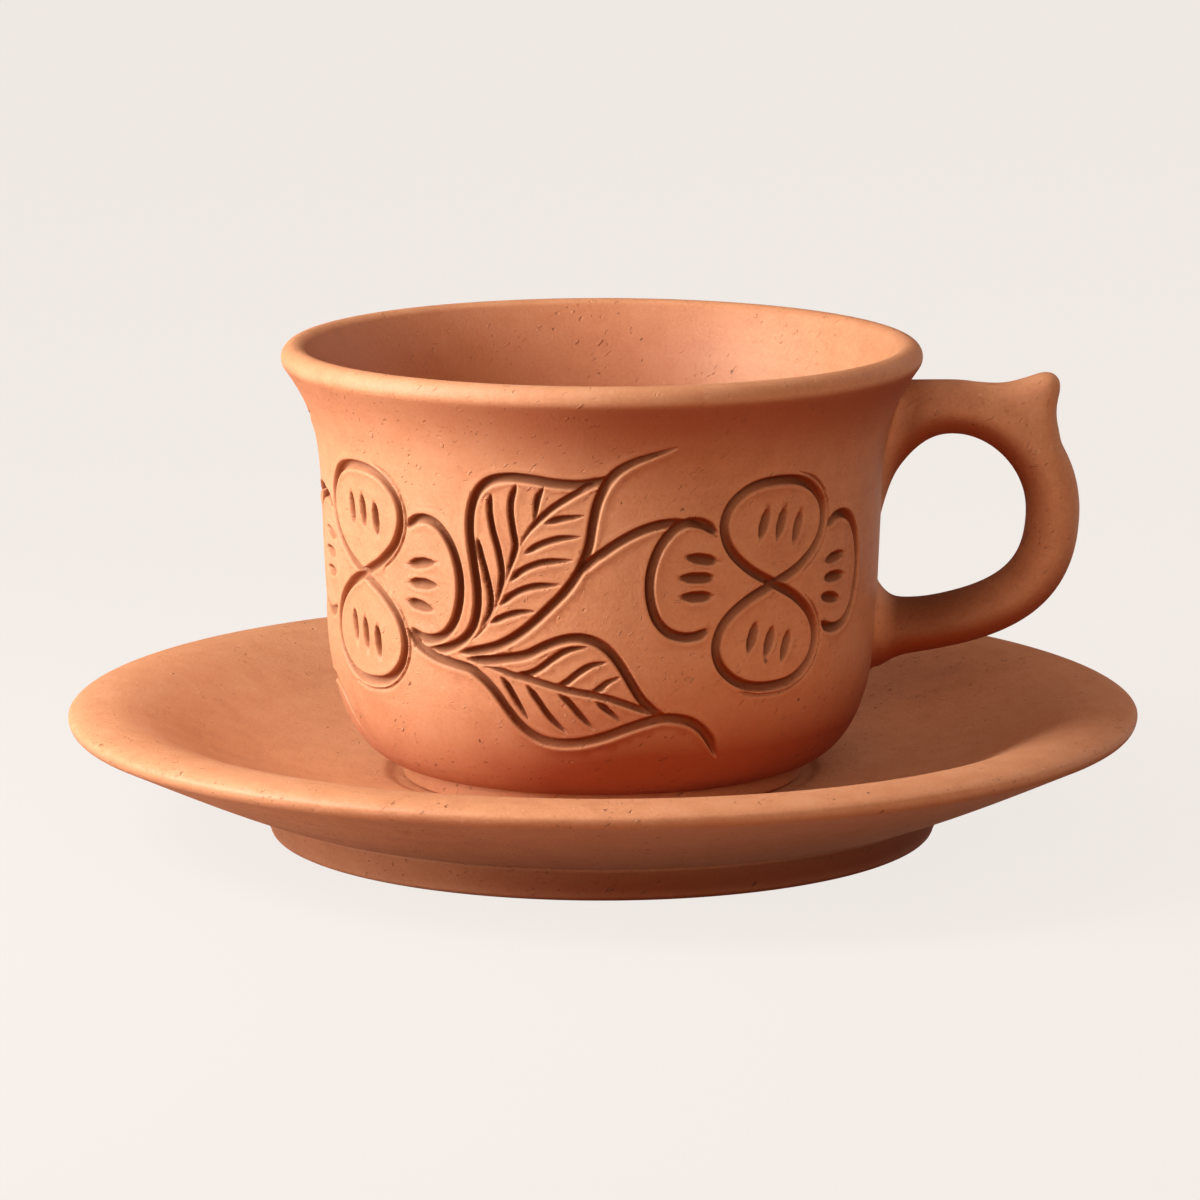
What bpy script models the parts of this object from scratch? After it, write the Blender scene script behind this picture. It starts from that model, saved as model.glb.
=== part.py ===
"""Terracotta cup and saucer: a turned cup with a looped handle, standing on a turned saucer.

Metres, +Z up. The origin is the centre of the saucer's foot, on the table. The handle points to +X.
"""

import math

import bmesh
import bpy
from mathutils import Matrix, Vector
from mathutils.geometry import interpolate_bezier

# Gap between the faces of two pieces that touch
CLEARANCE = 0.0003

# Saucer dish: its lip is broad and nearly flat on top, and rounder underneath
SAUCER_RADIUS = 0.075
SAUCER_HEIGHT = 0.0186
SAUCER_LIP_DROP = 0.0010
SAUCER_LIP_WIDTH = 0.0054
SAUCER_LIP_UNDERSIDE = 0.0030
SAUCER_FLOOR_THICKNESS = 0.0032
SAUCER_SIDE_SLOPE = math.radians(25)
SAUCER_SIDE_SLOPE_AT_FOOT = math.radians(18)

# Shallow well in the middle of the dish, which centres the cup's foot
WELL_PLAY = 0.0005
WELL_DEPTH = 0.0006
WELL_STEP_WIDTH = 0.0026

# Saucer foot ring
SAUCER_FOOT_HEIGHT = 0.0048
SAUCER_FOOT_TOP_RADIUS = 0.0489
SAUCER_FOOT_BASE_RADIUS = 0.0468
SAUCER_FOOT_WALL = 0.0042
SAUCER_FOOT_EDGE_ROUND = 0.0008

# Cup bowl, with heights above the underside of the cup's foot
CUP_HEIGHT = 0.0609
CUP_RIM_RADIUS = 0.0447
CUP_LIP_FLARE = math.radians(35)
CUP_NECK_RADIUS = 0.0392
CUP_NECK_HEIGHT = 0.0406
CUP_WAIST_RADIUS = 0.03845
CUP_WAIST_HEIGHT = 0.0226
CUP_WALL = 0.0038
CUP_BASE_THICKNESS = 0.0042
CUP_BASE_SLOPE = math.radians(11)

# Cup foot ring
CUP_FOOT_RADIUS = 0.0282
CUP_FOOT_HEIGHT = 0.0019
CUP_FOOT_WALL = 0.0042
CUP_FOOT_EDGE_ROUND = 0.0004

# Handle: a bar bent into a loop, with roots that spread up and down the wall
HANDLE_THICKNESS = 0.0076
HANDLE_WIDTH = 0.0090
HANDLE_FINGER_GAP = 0.0209
HANDLE_TOP_BELOW_RIM = 0.0092
HANDLE_CROWN_OUT = 0.0105
HANDLE_KNUCKLE_BELOW_TOP = 0.0145
HANDLE_LOOP_HEIGHT = 0.0306
HANDLE_LOWER_ROOT_DROP = 0.0014
HANDLE_UPPER_ROOT_SPREAD = 0.0055
HANDLE_UPPER_ROOT_LENGTH = 0.0105
HANDLE_LOWER_ROOT_SPREAD = 0.0037
HANDLE_LOWER_ROOT_LENGTH = 0.0085

# Thumb rest: a short horn on the upper outer corner of the handle
THUMB_REST_LENGTH = 0.0129
THUMB_REST_TIP_BEFORE_KNUCKLE = 0.0017
THUMB_REST_TIP_RISE = 0.0028
THUMB_REST_TIP_THICKNESS = 0.0042
THUMB_REST_TIP_WIDTH = 0.0050

# Carved ornament on the wall: grooves with a flat floor and short pointed dashes
ORNAMENT_UNIT = 0.001
ORNAMENT_HEIGHT = 0.0322
GROOVE_WIDTH = 0.0014
GROOVE_FLOOR_WIDTH = 0.0006
GROOVE_DEPTH = 0.0010
DASH_WIDTH = 0.0015
DASH_FLOOR_WIDTH = 0.0004
DASH_DEPTH = 0.0009
GROOVE_STEP = 0.0045
CARVING_LIFT = 0.0004
GROOVE_END_SHARE = 0.45

# Flowers, in drawing units: arc from the front to the crossing, height of the crossing above the
# ornament's middle, lean of the flower and of its upright dashes in degrees, and how tall it is drawn
FLOWER_PITCH = 63.7
FLOWERS = [
    (25.0, 0.0, -3.0, -13.0, 1.0),
    (-38.6, -0.3, 0.0, 6.0, 1.05),
    (25.0 - 2 * FLOWER_PITCH, -0.1, -2.0, -6.0, 1.02),
]

# One flower, in drawing units from its crossing: half of the upper lobe, the right curl, and the dashes
LOBE_SIDE = [(0, 0), (4.2, 2.1), (7.4, 4.9), (8.6, 8.2), (7.6, 11.3), (4.5, 13.6), (0.3, 14.3), (-1.6, 14.2)]
CURL = [
    (9.7, 7.2), (11.5, 8.5), (13.6, 8.7), (15.6, 7.8), (17.3, 5.7), (18.6, 0.2),
    (17.2, -4.9), (15.5, -6.5), (13.2, -7.1), (11.2, -6.8), (9.9, -6.0),
]
LOBE_DASHES = [(-2.4, 8.3), (0.5, 8.3), (3.5, 7.6), (-3.0, -7.4), (-0.1, -8.1), (2.9, -8.8)]
LOBE_DASH_HALF_LENGTH = 2.2
CURL_DASHES = [
    [(9.9, 2.4), (14.5, 3.1)],
    [(9.9, 0.0), (14.8, 0.1)],
    [(9.5, -2.5), (14.0, -3.2)],
    [(-9.3, 3.4), (-13.9, 4.0)],
    [(-9.6, 1.1), (-14.6, 1.1)],
    [(-9.7, -1.4), (-14.3, -1.5)],
]

# One spray of two leaves, in drawing units from the front and from the ornament's middle
SPRAY_COUNT = 3
SPRAY = {
    "upper_leaf_left": [
        (-25.2, -9.0), (-20.0, -7.5), (-18.3, -5.6), (-17.4, 0.0), (-18.3, 7.5), (-17.1, 13.1),
        (-15.2, 14.9), (-12.5, 15.6), (-6.0, 15.0), (-2.8, 14.9), (1.6, 16.4),
    ],
    "upper_leaf_right": [
        (-20.3, -9.1), (-14.5, -7.7), (-9.5, -4.4), (-5.0, 0.1), (-2.2, 4.9), (-1.2, 9.5),
        (0.4, 14.6), (2.0, 16.7), (4.3, 18.1), (9.7, 20.0),
    ],
    "upper_leaf_midrib": [(-11.0, 6.4), (-8.6, 9.7), (-4.8, 12.8), (-0.2, 15.1)],
    "tendril": [(-3.6, 2.0), (0.0, 5.4), (5.0, 8.4), (10.0, 9.5), (14.3, 8.4), (15.9, 7.1)],
    "lower_leaf_left": [
        (-29.4, -6.7), (-26.6, -9.2), (-21.0, -10.8), (-18.6, -11.3), (-16.6, -12.6), (-13.3, -16.5),
        (-10.0, -19.9), (-7.7, -20.9), (-4.8, -21.1), (0.8, -19.9), (6.0, -18.1), (10.4, -17.7),
        (14.5, -19.6), (16.8, -22.8), (17.3, -23.7),
    ],
    "lower_leaf_right": [
        (-19.2, -9.9), (-13.0, -9.3), (-7.7, -7.4), (-3.0, -6.2), (0.8, -7.8), (3.3, -11.2),
        (5.8, -15.2), (9.2, -17.4),
    ],
    "lower_leaf_midrib": [
        (-16.6, -10.7), (-12.0, -11.7), (-7.3, -12.8), (-2.2, -13.9), (2.8, -15.2), (7.6, -17.0),
    ],
}

# How far the bending reaches along a curve, as a share of the curve's own span
FLARE_PULL_AT_LIP = 0.33
FLARE_PULL_AT_NECK = 0.50
BELLY_PULL_AT_WAIST = 0.44
BELLY_PULL_AT_BASE = 0.80
DISH_PULL_AT_LIP = 0.13
DISH_PULL_AT_WELL = 0.75
SIDE_PULL = 0.33
KNUCKLE_PULL = 0.53
LOWER_BEND_PULL = 0.80
LOWER_ROOT_PULL = 0.68
THUMB_REST_PULL = 0.50

# How quickly a root opens, or the thumb rest narrows, towards its end
UPPER_ROOT_POWER = 2.5
LOWER_ROOT_POWER = 3.0
THUMB_REST_TAPER_POWER = 2.0

# Fineness of the round shapes
TURN_STEPS = 64
CURVE_STEPS = 7
BELLY_STEPS = 9
LIP_STEPS = 6
EDGE_STEPS = 2
HANDLE_STEPS = 9
HANDLE_SIDES = 16
MERGE_DISTANCE = 0.00001

# Linear colours of the fired clay
CUP_COLOUR = (0.56, 0.19, 0.095, 1.0)
SAUCER_COLOUR = (0.53, 0.18, 0.09, 1.0)
CLAY_ROUGHNESS = 0.8

# Heights that follow from the sizes above
SAUCER_FLOOR = SAUCER_FOOT_HEIGHT + SAUCER_FLOOR_THICKNESS
CUP_REST_HEIGHT = SAUCER_FLOOR + CLEARANCE
CUP_BASE = CUP_FOOT_HEIGHT + CLEARANCE


def clear_scene():
    for obj in list(bpy.data.objects):
        bpy.data.objects.remove(obj, do_unlink=True)


def new_collection(name):
    collection = bpy.data.collections.new(name)
    bpy.context.scene.collection.children.link(collection)
    return collection


def clay(name, colour):
    material = bpy.data.materials.new(name + "_terracotta")
    material.use_nodes = True
    shader = material.node_tree.nodes["Principled BSDF"]
    shader.inputs["Base Color"].default_value = colour
    shader.inputs["Roughness"].default_value = CLAY_ROUGHNESS
    shader.inputs["Metallic"].default_value = 0.0
    return material


def add_piece(name, mesh, collection, parent, colour):
    obj = bpy.data.objects.new(name, mesh)
    collection.objects.link(obj)
    obj.parent = parent
    mesh.materials.append(clay(name, colour))
    return obj


def add_cutter(name, mesh, collection, parent):
    obj = bpy.data.objects.new(name, mesh)
    collection.objects.link(obj)
    obj.parent = parent
    obj.hide_render = True
    obj.display_type = "WIRE"
    return obj


def add_empty(name, collection, height):
    empty = bpy.data.objects.new(name, None)
    empty.location.z = height
    collection.objects.link(empty)
    return empty


def polar(angle, length):
    return Vector((math.cos(angle), math.sin(angle))) * length


def arc(centre, half_width, half_height, start, end, steps):
    """Points of a round or oval arc in the (radius, height) plane, both ends included."""
    points = []
    for i in range(steps + 1):
        angle = start + (end - start) * i / steps
        points.append(centre + Vector((math.cos(angle) * half_width, math.sin(angle) * half_height)))
    return points


def bend(start, start_handle, end_handle, end, steps=CURVE_STEPS):
    """Points of a cubic curve in a plane, both ends included."""
    return interpolate_bezier(start, start_handle, end_handle, end, steps + 1)


def outward_normals(points):
    """Normals of a profile that runs down its outer side."""
    normals = []
    for i in range(len(points)):
        along = points[min(i + 1, len(points) - 1)] - points[max(i - 1, 0)]
        normals.append(Vector((-along.y, along.x)).normalized())
    return normals


def profile_mesh(name, points, closed):
    mesh = bpy.data.meshes.new(name)
    vertices = [(point.x, 0.0, point.y) for point in points]
    edges = [(i, i + 1) for i in range(len(points) - 1)]
    if closed:
        edges.append((len(points) - 1, 0))
    mesh.from_pydata(vertices, edges, [])
    return mesh


def turn(obj):
    screw = obj.modifiers.new("turn", "SCREW")
    screw.axis = "Z"
    screw.angle = math.tau
    screw.steps = TURN_STEPS
    screw.render_steps = TURN_STEPS
    screw.use_merge_vertices = True
    screw.merge_threshold = MERGE_DISTANCE
    screw.use_smooth_shade = True


def cup_lip_centre():
    return Vector((CUP_RIM_RADIUS - CUP_WALL / 2, CUP_HEIGHT - CUP_WALL / 2))


def cup_outer_profile():
    """The outer side of the bowl, from under the lip down to the edge of the base."""
    lip_centre = cup_lip_centre()
    lip_start = lip_centre + polar(-CUP_LIP_FLARE, CUP_WALL / 2)
    neck = Vector((CUP_NECK_RADIUS, CUP_NECK_HEIGHT))
    waist = Vector((CUP_WAIST_RADIUS, CUP_WAIST_HEIGHT))
    base = Vector((CUP_FOOT_RADIUS, CUP_BASE))
    lean = (waist - neck).normalized()
    flare_length = (lip_start - neck).length
    flare = bend(
        lip_start,
        lip_start + polar(-CUP_LIP_FLARE - math.pi / 2, flare_length * FLARE_PULL_AT_LIP),
        neck - lean * flare_length * FLARE_PULL_AT_NECK,
        neck,
    )
    belly = bend(
        waist,
        waist + lean * (waist.y - base.y) * BELLY_PULL_AT_WAIST,
        base + polar(CUP_BASE_SLOPE, (waist.x - base.x) * BELLY_PULL_AT_BASE),
        base,
        BELLY_STEPS,
    )
    return flare + belly


def cup_inner_profile(outer):
    """The inner side of the bowl, from its floor up to the lip: the wall thickens towards the base."""
    inner = []
    waist = len(outer) - 1 - BELLY_STEPS
    for i, (point, normal) in enumerate(zip(outer, outward_normals(outer))):
        share = max(0, i - waist) / BELLY_STEPS
        thickness = CUP_WALL + (CUP_BASE_THICKNESS - CUP_WALL) * share
        inner.append(point - normal * thickness)
    return inner[::-1]


def smooth_path(points):
    """The smooth curve through the given points, with a further point in its longer stretches."""
    ends = [points[0] * 2 - points[1]] + points + [points[-1] * 2 - points[-2]]
    path = [points[0]]
    for before, start, end, after in zip(ends, ends[1:], ends[2:], ends[3:]):
        steps = max(round((end - start).length / GROOVE_STEP), 1)
        path += bend(start, start + (end - before) / 6, end - (after - start) / 6, end, steps)[1:]
    return path


def wall_point(place, lift, outer, normals):
    """The point at an arc from the front and a height on the wall, lifted off it along its normal."""
    height = min(max(place.y, outer[-1].y), outer[0].y)
    i = 0
    while i < len(outer) - 2 and outer[i + 1].y > height:
        i += 1
    share = (outer[i].y - height) / (outer[i].y - outer[i + 1].y)
    point = outer[i].lerp(outer[i + 1], share) + normals[i].lerp(normals[i + 1], share) * lift
    angle = place.x / ((CUP_NECK_RADIUS + CUP_WAIST_RADIUS) / 2) - math.pi / 2
    return (point.x * math.cos(angle), point.x * math.sin(angle), point.y)


def groove_mesh(name, path, width, floor_width, depth):
    """A closed bar along a path on the wall, standing out of it, which narrows at both ends."""
    outer = cup_outer_profile()
    normals = outward_normals(outer)
    shape = bmesh.new()
    rings = []
    for i, (place, side) in enumerate(zip(path, outward_normals(path))):
        share = GROOVE_END_SHARE if i in (0, len(path) - 1) else 1.0
        slope = (width - floor_width) / depth
        top = (width + slope * CARVING_LIFT) / 2 * share
        floor = floor_width / 2 * share
        corners = [(top, CARVING_LIFT), (-top, CARVING_LIFT), (-floor, -depth * share), (floor, -depth * share)]
        ring = [shape.verts.new(wall_point(place + side * out, lift, outer, normals)) for out, lift in corners]
        rings.append(ring)
    for ring, following in zip(rings, rings[1:]):
        for i in range(len(ring)):
            j = (i + 1) % len(ring)
            shape.faces.new((ring[i], ring[j], following[j], following[i]))
    shape.faces.new(rings[0])
    shape.faces.new(rings[-1])
    bmesh.ops.recalc_face_normals(shape, faces=shape.faces)
    mesh = bpy.data.meshes.new(name)
    shape.to_mesh(mesh)
    shape.free()
    return mesh


def on_wall(points):
    """Places on the wall, as arc and height, of points in drawing units."""
    return [Vector(point) * ORNAMENT_UNIT + Vector((0.0, ORNAMENT_HEIGHT)) for point in points]


def flower_lines(flower):
    """The grooves and the dashes of one flower, in drawing units: two crossing lines make its lobes."""
    arc_from_front, height, lean, dash_lean, tallness = flower
    half_line = [Vector(point) for point in LOBE_SIDE]
    line = [-point for point in half_line[:0:-1]] + half_line
    curl = [Vector(point) for point in CURL]
    mirror = Vector((-1.0, 1.0))
    grooves = [line, [point * mirror for point in line], curl, [point * mirror for point in curl]]
    upright = polar(math.radians(90 + dash_lean), LOBE_DASH_HALF_LENGTH)
    middles = [Vector(middle) for middle in LOBE_DASHES]
    dashes = [[middle + upright, middle, middle - upright] for middle in middles]
    dashes += [[Vector(start), (Vector(start) + Vector(end)) / 2, Vector(end)] for start, end in CURL_DASHES]
    turn_by = Matrix.Rotation(math.radians(lean), 2)
    crossing = Vector((arc_from_front, height))
    placed = []
    for lines in (grooves, dashes):
        placed.append([[turn_by @ Vector((x, y * tallness)) + crossing for x, y in points] for points in lines])
    return placed


def make_carving(collection, parent):
    """A collection of the bars that cut the ornament."""
    carving = bpy.data.collections.new("carving")
    collection.children.link(carving)
    for number, flower in enumerate(FLOWERS):
        grooves, dashes = flower_lines(flower)
        for k, points in enumerate(grooves):
            name = f"flower_{number}_groove_{k}"
            path = smooth_path(on_wall(points))
            mesh = groove_mesh(name, path, GROOVE_WIDTH, GROOVE_FLOOR_WIDTH, GROOVE_DEPTH)
            add_cutter(name, mesh, carving, parent)
        for k, points in enumerate(dashes):
            name = f"flower_{number}_dash_{k}"
            path = smooth_path(on_wall(points))
            mesh = groove_mesh(name, path, DASH_WIDTH, DASH_FLOOR_WIDTH, DASH_DEPTH)
            add_cutter(name, mesh, carving, parent)
    for number in range(SPRAY_COUNT):
        for kind, points in SPRAY.items():
            name = f"spray_{number}_{kind}"
            moved = [(x - number * FLOWER_PITCH, y) for x, y in points]
            path = smooth_path(on_wall(moved))
            mesh = groove_mesh(name, path, GROOVE_WIDTH, GROOVE_FLOOR_WIDTH, GROOVE_DEPTH)
            add_cutter(name, mesh, carving, parent)
    return carving


def carve_with(obj, carving):
    carve = obj.modifiers.new("carve", "BOOLEAN")
    carve.operation = "DIFFERENCE"
    carve.solver = "EXACT"
    carve.operand_type = "COLLECTION"
    carve.collection = carving


def make_cup_bowl(collection, parent, carving):
    outer = cup_outer_profile()
    inner = cup_inner_profile(outer)
    lip_radius = CUP_WALL / 2
    lip_ends = (math.pi - CUP_LIP_FLARE, -CUP_LIP_FLARE)
    lip = arc(cup_lip_centre(), lip_radius, lip_radius, *lip_ends, LIP_STEPS)
    floor_centre = Vector((0.0, inner[0].y))
    base_centre = Vector((0.0, CUP_BASE))
    points = [floor_centre] + inner[:-1] + lip + outer[1:] + [base_centre]
    bowl = add_piece("cup_bowl", profile_mesh("cup_bowl", points, False), collection, parent, CUP_COLOUR)
    turn(bowl)
    carve_with(bowl, carving)


def make_cup_outside_cutter(collection, parent):
    """A solid of the bowl's outer side, larger by the clearance, which shapes the roots of the handle."""
    outer = cup_outer_profile()
    skin = [point + normal * CLEARANCE for point, normal in zip(outer, outward_normals(outer))]
    lip_radius = CUP_WALL / 2 + CLEARANCE
    lip = arc(cup_lip_centre(), lip_radius, lip_radius, math.pi / 2, -CUP_LIP_FLARE, LIP_STEPS)
    points = [Vector((0.0, lip[0].y))] + lip + skin[1:] + [Vector((0.0, skin[-1].y))]
    cutter = add_cutter("cup_outside", profile_mesh("cup_outside", points, False), collection, parent)
    turn(cutter)
    return cutter


def ring_profile(top_radius, base_radius, wall, height, edge_round):
    """A foot ring's closed section, with the two edges that stand on the table rounded."""
    outer_base = Vector((base_radius, 0.0))
    inner_base = Vector((base_radius - wall, 0.0))
    up = Vector((0.0, edge_round))
    side = Vector((edge_round, 0.0))
    outer_edge = arc(outer_base + up - side, edge_round, edge_round, 0.0, -math.pi / 2, EDGE_STEPS)
    inner_edge = arc(inner_base + up + side, edge_round, edge_round, -math.pi / 2, -math.pi, EDGE_STEPS)
    outer_top = Vector((top_radius, height))
    inner_top = Vector((base_radius - wall, height))
    return [outer_top] + outer_edge + inner_edge + [inner_top]


def make_cup_foot_ring(collection, parent):
    points = ring_profile(
        CUP_FOOT_RADIUS, CUP_FOOT_RADIUS, CUP_FOOT_WALL, CUP_FOOT_HEIGHT, CUP_FOOT_EDGE_ROUND
    )
    mesh = profile_mesh("cup_foot_ring", points, True)
    turn(add_piece("cup_foot_ring", mesh, collection, parent, CUP_COLOUR))


def make_saucer_foot_ring(collection, parent):
    points = ring_profile(
        SAUCER_FOOT_TOP_RADIUS,
        SAUCER_FOOT_BASE_RADIUS,
        SAUCER_FOOT_WALL,
        SAUCER_FOOT_HEIGHT - CLEARANCE,
        SAUCER_FOOT_EDGE_ROUND,
    )
    mesh = profile_mesh("saucer_foot_ring", points, True)
    turn(add_piece("saucer_foot_ring", mesh, collection, parent, SAUCER_COLOUR))


def saucer_lip():
    """The lip of the dish, from its crest over the edge to its underside."""
    edge = Vector((SAUCER_RADIUS, SAUCER_HEIGHT - SAUCER_LIP_DROP))
    top = arc(
        edge - Vector((SAUCER_LIP_WIDTH, 0.0)), SAUCER_LIP_WIDTH, SAUCER_LIP_DROP, math.pi / 2, 0.0, LIP_STEPS
    )
    underside = arc(
        edge - Vector((SAUCER_LIP_UNDERSIDE, 0.0)),
        SAUCER_LIP_UNDERSIDE,
        SAUCER_LIP_UNDERSIDE,
        0.0,
        SAUCER_SIDE_SLOPE - math.pi / 2,
        LIP_STEPS,
    )
    return top + underside[1:]


def make_saucer_dish(collection, parent):
    lip = saucer_lip()
    well_floor = Vector((CUP_FOOT_RADIUS + WELL_PLAY, SAUCER_FLOOR))
    well_edge = well_floor + Vector((WELL_STEP_WIDTH, WELL_DEPTH))
    dish_span = Vector((lip[0].x - well_edge.x, 0.0))
    dish = bend(
        lip[0],
        lip[0] - dish_span * DISH_PULL_AT_LIP,
        well_edge + dish_span * DISH_PULL_AT_WELL,
        well_edge,
    )

    foot = Vector((SAUCER_FOOT_TOP_RADIUS, SAUCER_FOOT_HEIGHT))
    side_pull = (lip[-1].x - foot.x) * SIDE_PULL
    side = bend(
        lip[-1],
        lip[-1] + polar(math.pi + SAUCER_SIDE_SLOPE, side_pull),
        foot + polar(SAUCER_SIDE_SLOPE_AT_FOOT, side_pull),
        foot,
    )

    floor_centre = Vector((0.0, SAUCER_FLOOR))
    underside_centre = Vector((0.0, SAUCER_FOOT_HEIGHT))
    points = [floor_centre, well_floor] + dish[:0:-1] + lip + side[1:] + [underside_centre]
    mesh = profile_mesh("saucer_dish", points, False)
    turn(add_piece("saucer_dish", mesh, collection, parent, SAUCER_COLOUR))


def handle_top():
    """The height of the middle line along the top of the loop."""
    return CUP_HEIGHT - HANDLE_TOP_BELOW_RIM


def handle_knuckle():
    """The outermost point of the loop's middle line."""
    out = CUP_WAIST_RADIUS + HANDLE_FINGER_GAP + HANDLE_THICKNESS / 2
    return Vector((out, handle_top() - HANDLE_KNUCKLE_BELOW_TOP))


def handle_middle_line():
    """The upper and the lower half of the loop's middle line, which meet at the knuckle."""
    top = handle_top()
    knuckle = handle_knuckle()
    inside_wall = CUP_WAIST_RADIUS - CUP_WALL
    crown = Vector((CUP_WAIST_RADIUS + HANDLE_CROWN_OUT, top))
    root_step = (crown.x - inside_wall) / HANDLE_STEPS
    upper_root = [Vector((inside_wall + root_step * i, top)) for i in range(HANDLE_STEPS)]
    corner = bend(
        crown,
        crown + Vector(((knuckle.x - crown.x) * KNUCKLE_PULL, 0.0)),
        knuckle + Vector((0.0, HANDLE_KNUCKLE_BELOW_TOP * KNUCKLE_PULL)),
        knuckle,
        HANDLE_STEPS,
    )
    bottom = top - HANDLE_LOOP_HEIGHT
    lower_root = Vector((inside_wall, bottom - HANDLE_LOWER_ROOT_DROP))
    lower = bend(
        knuckle,
        knuckle - Vector((0.0, (knuckle.y - bottom) * LOWER_BEND_PULL)),
        Vector((inside_wall + (knuckle.x - inside_wall) * LOWER_ROOT_PULL, bottom)),
        lower_root,
        2 * HANDLE_STEPS,
    )
    return upper_root + corner, lower[1:]


def spread(point, length):
    """How far the root has opened here: 1 at the wall, and 0 at the end of its length."""
    return min(max(1 - (point.x - CUP_WAIST_RADIUS) / length, 0.0), 1.0)


def handle_sections(extra):
    """Centre, half thickness and half width of the bar at each point of its middle line."""
    upper, lower = handle_middle_line()
    half_width = HANDLE_WIDTH / 2 + extra
    sections = []
    for point in upper:
        opened = HANDLE_UPPER_ROOT_SPREAD * spread(point, HANDLE_UPPER_ROOT_LENGTH) ** UPPER_ROOT_POWER
        lowered = point - Vector((0.0, opened))
        sections.append((lowered, HANDLE_THICKNESS / 2 + opened + extra, half_width))
    for point in lower:
        opened = HANDLE_LOWER_ROOT_SPREAD * spread(point, HANDLE_LOWER_ROOT_LENGTH) ** LOWER_ROOT_POWER
        sections.append((point, HANDLE_THICKNESS / 2 + opened + extra, half_width))
    return sections, outward_normals(upper + lower)


def loft_mesh(name, sections, normals):
    """A closed bar of oval sections, whose middle line lies in the XZ plane."""
    shape = bmesh.new()
    rings = []
    for (centre, half_thickness, half_width), normal in zip(sections, normals):
        ring = []
        for i in range(HANDLE_SIDES):
            angle = math.tau * i / HANDLE_SIDES
            place = centre + normal * math.cos(angle) * half_thickness
            ring.append(shape.verts.new((place.x, math.sin(angle) * half_width, place.y)))
        rings.append(ring)
    for ring, following in zip(rings, rings[1:]):
        for i in range(HANDLE_SIDES):
            j = (i + 1) % HANDLE_SIDES
            shape.faces.new((ring[i], ring[j], following[j], following[i]))
    shape.faces.new(rings[0])
    shape.faces.new(rings[-1])
    bmesh.ops.recalc_face_normals(shape, faces=shape.faces)
    mesh = bpy.data.meshes.new(name)
    shape.to_mesh(mesh)
    shape.free()
    mesh.shade_smooth()
    return mesh


def cut_with(obj, name, cutter):
    cut = obj.modifiers.new(name, "BOOLEAN")
    cut.operation = "DIFFERENCE"
    cut.solver = "EXACT"
    cut.object = cutter


def make_handle(collection, parent, cup_outside):
    mesh = loft_mesh("handle", *handle_sections(0.0))
    handle = add_piece("handle", mesh, collection, parent, CUP_COLOUR)
    cut_with(handle, "seat_on_wall", cup_outside)


def make_handle_outside_cutter(collection, parent):
    """The bar of the handle, larger by the clearance, which shapes the seat of the thumb rest."""
    mesh = loft_mesh("handle_outside", *handle_sections(CLEARANCE))
    return add_cutter("handle_outside", mesh, collection, parent)


def make_thumb_rest(collection, parent, handle_outside):
    top = handle_top()
    tip = Vector((handle_knuckle().x - THUMB_REST_TIP_BEFORE_KNUCKLE, top + THUMB_REST_TIP_RISE))
    start = Vector((tip.x - THUMB_REST_LENGTH, top))
    level = start + Vector((THUMB_REST_LENGTH * THUMB_REST_PULL, 0.0))
    middle_line = bend(start, level, level, tip)
    sections = []
    for i, point in enumerate(middle_line):
        taper = (i / CURVE_STEPS) ** THUMB_REST_TAPER_POWER
        thickness = HANDLE_THICKNESS + (THUMB_REST_TIP_THICKNESS - HANDLE_THICKNESS) * taper
        width = HANDLE_WIDTH + (THUMB_REST_TIP_WIDTH - HANDLE_WIDTH) * taper
        sections.append((point, thickness / 2, width / 2))
    normals = outward_normals(middle_line)

    forward = (middle_line[-1] - middle_line[-2]).normalized()
    for i in range(1, LIP_STEPS):
        angle = math.pi / 2 * i / LIP_STEPS
        point = tip + forward * math.sin(angle) * THUMB_REST_TIP_THICKNESS / 2
        narrow = math.cos(angle) / 2
        sections.append((point, THUMB_REST_TIP_THICKNESS * narrow, THUMB_REST_TIP_WIDTH * narrow))
        normals.append(normals[-1])

    mesh = loft_mesh("thumb_rest", sections, normals)
    rest = add_piece("thumb_rest", mesh, collection, parent, CUP_COLOUR)
    cut_with(rest, "seat_on_handle", handle_outside)


def main():
    clear_scene()
    pieces = new_collection("cup_and_saucer")
    cutters = new_collection("cutters")

    saucer = add_empty("saucer_origin", pieces, 0.0)
    make_saucer_dish(pieces, saucer)
    make_saucer_foot_ring(pieces, saucer)

    cup = add_empty("cup_origin", pieces, CUP_REST_HEIGHT)
    make_cup_bowl(pieces, cup, make_carving(cutters, cup))
    make_cup_foot_ring(pieces, cup)
    cup_outside = make_cup_outside_cutter(cutters, cup)
    make_handle(pieces, cup, cup_outside)
    handle_outside = make_handle_outside_cutter(cutters, cup)
    make_thumb_rest(pieces, cup, handle_outside)


main()
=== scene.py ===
"""Looks of the terracotta cup and saucer.

The carved wall, the smoothed handle, the fired clay and a plain studio. Shapes are drawn in
millimetres, in the frame's own axes, and made into meshes in metres.
"""
import math

import bmesh
import bpy
import numpy as np
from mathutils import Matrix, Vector
from mathutils.geometry import delaunay_2d_cdt


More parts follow.
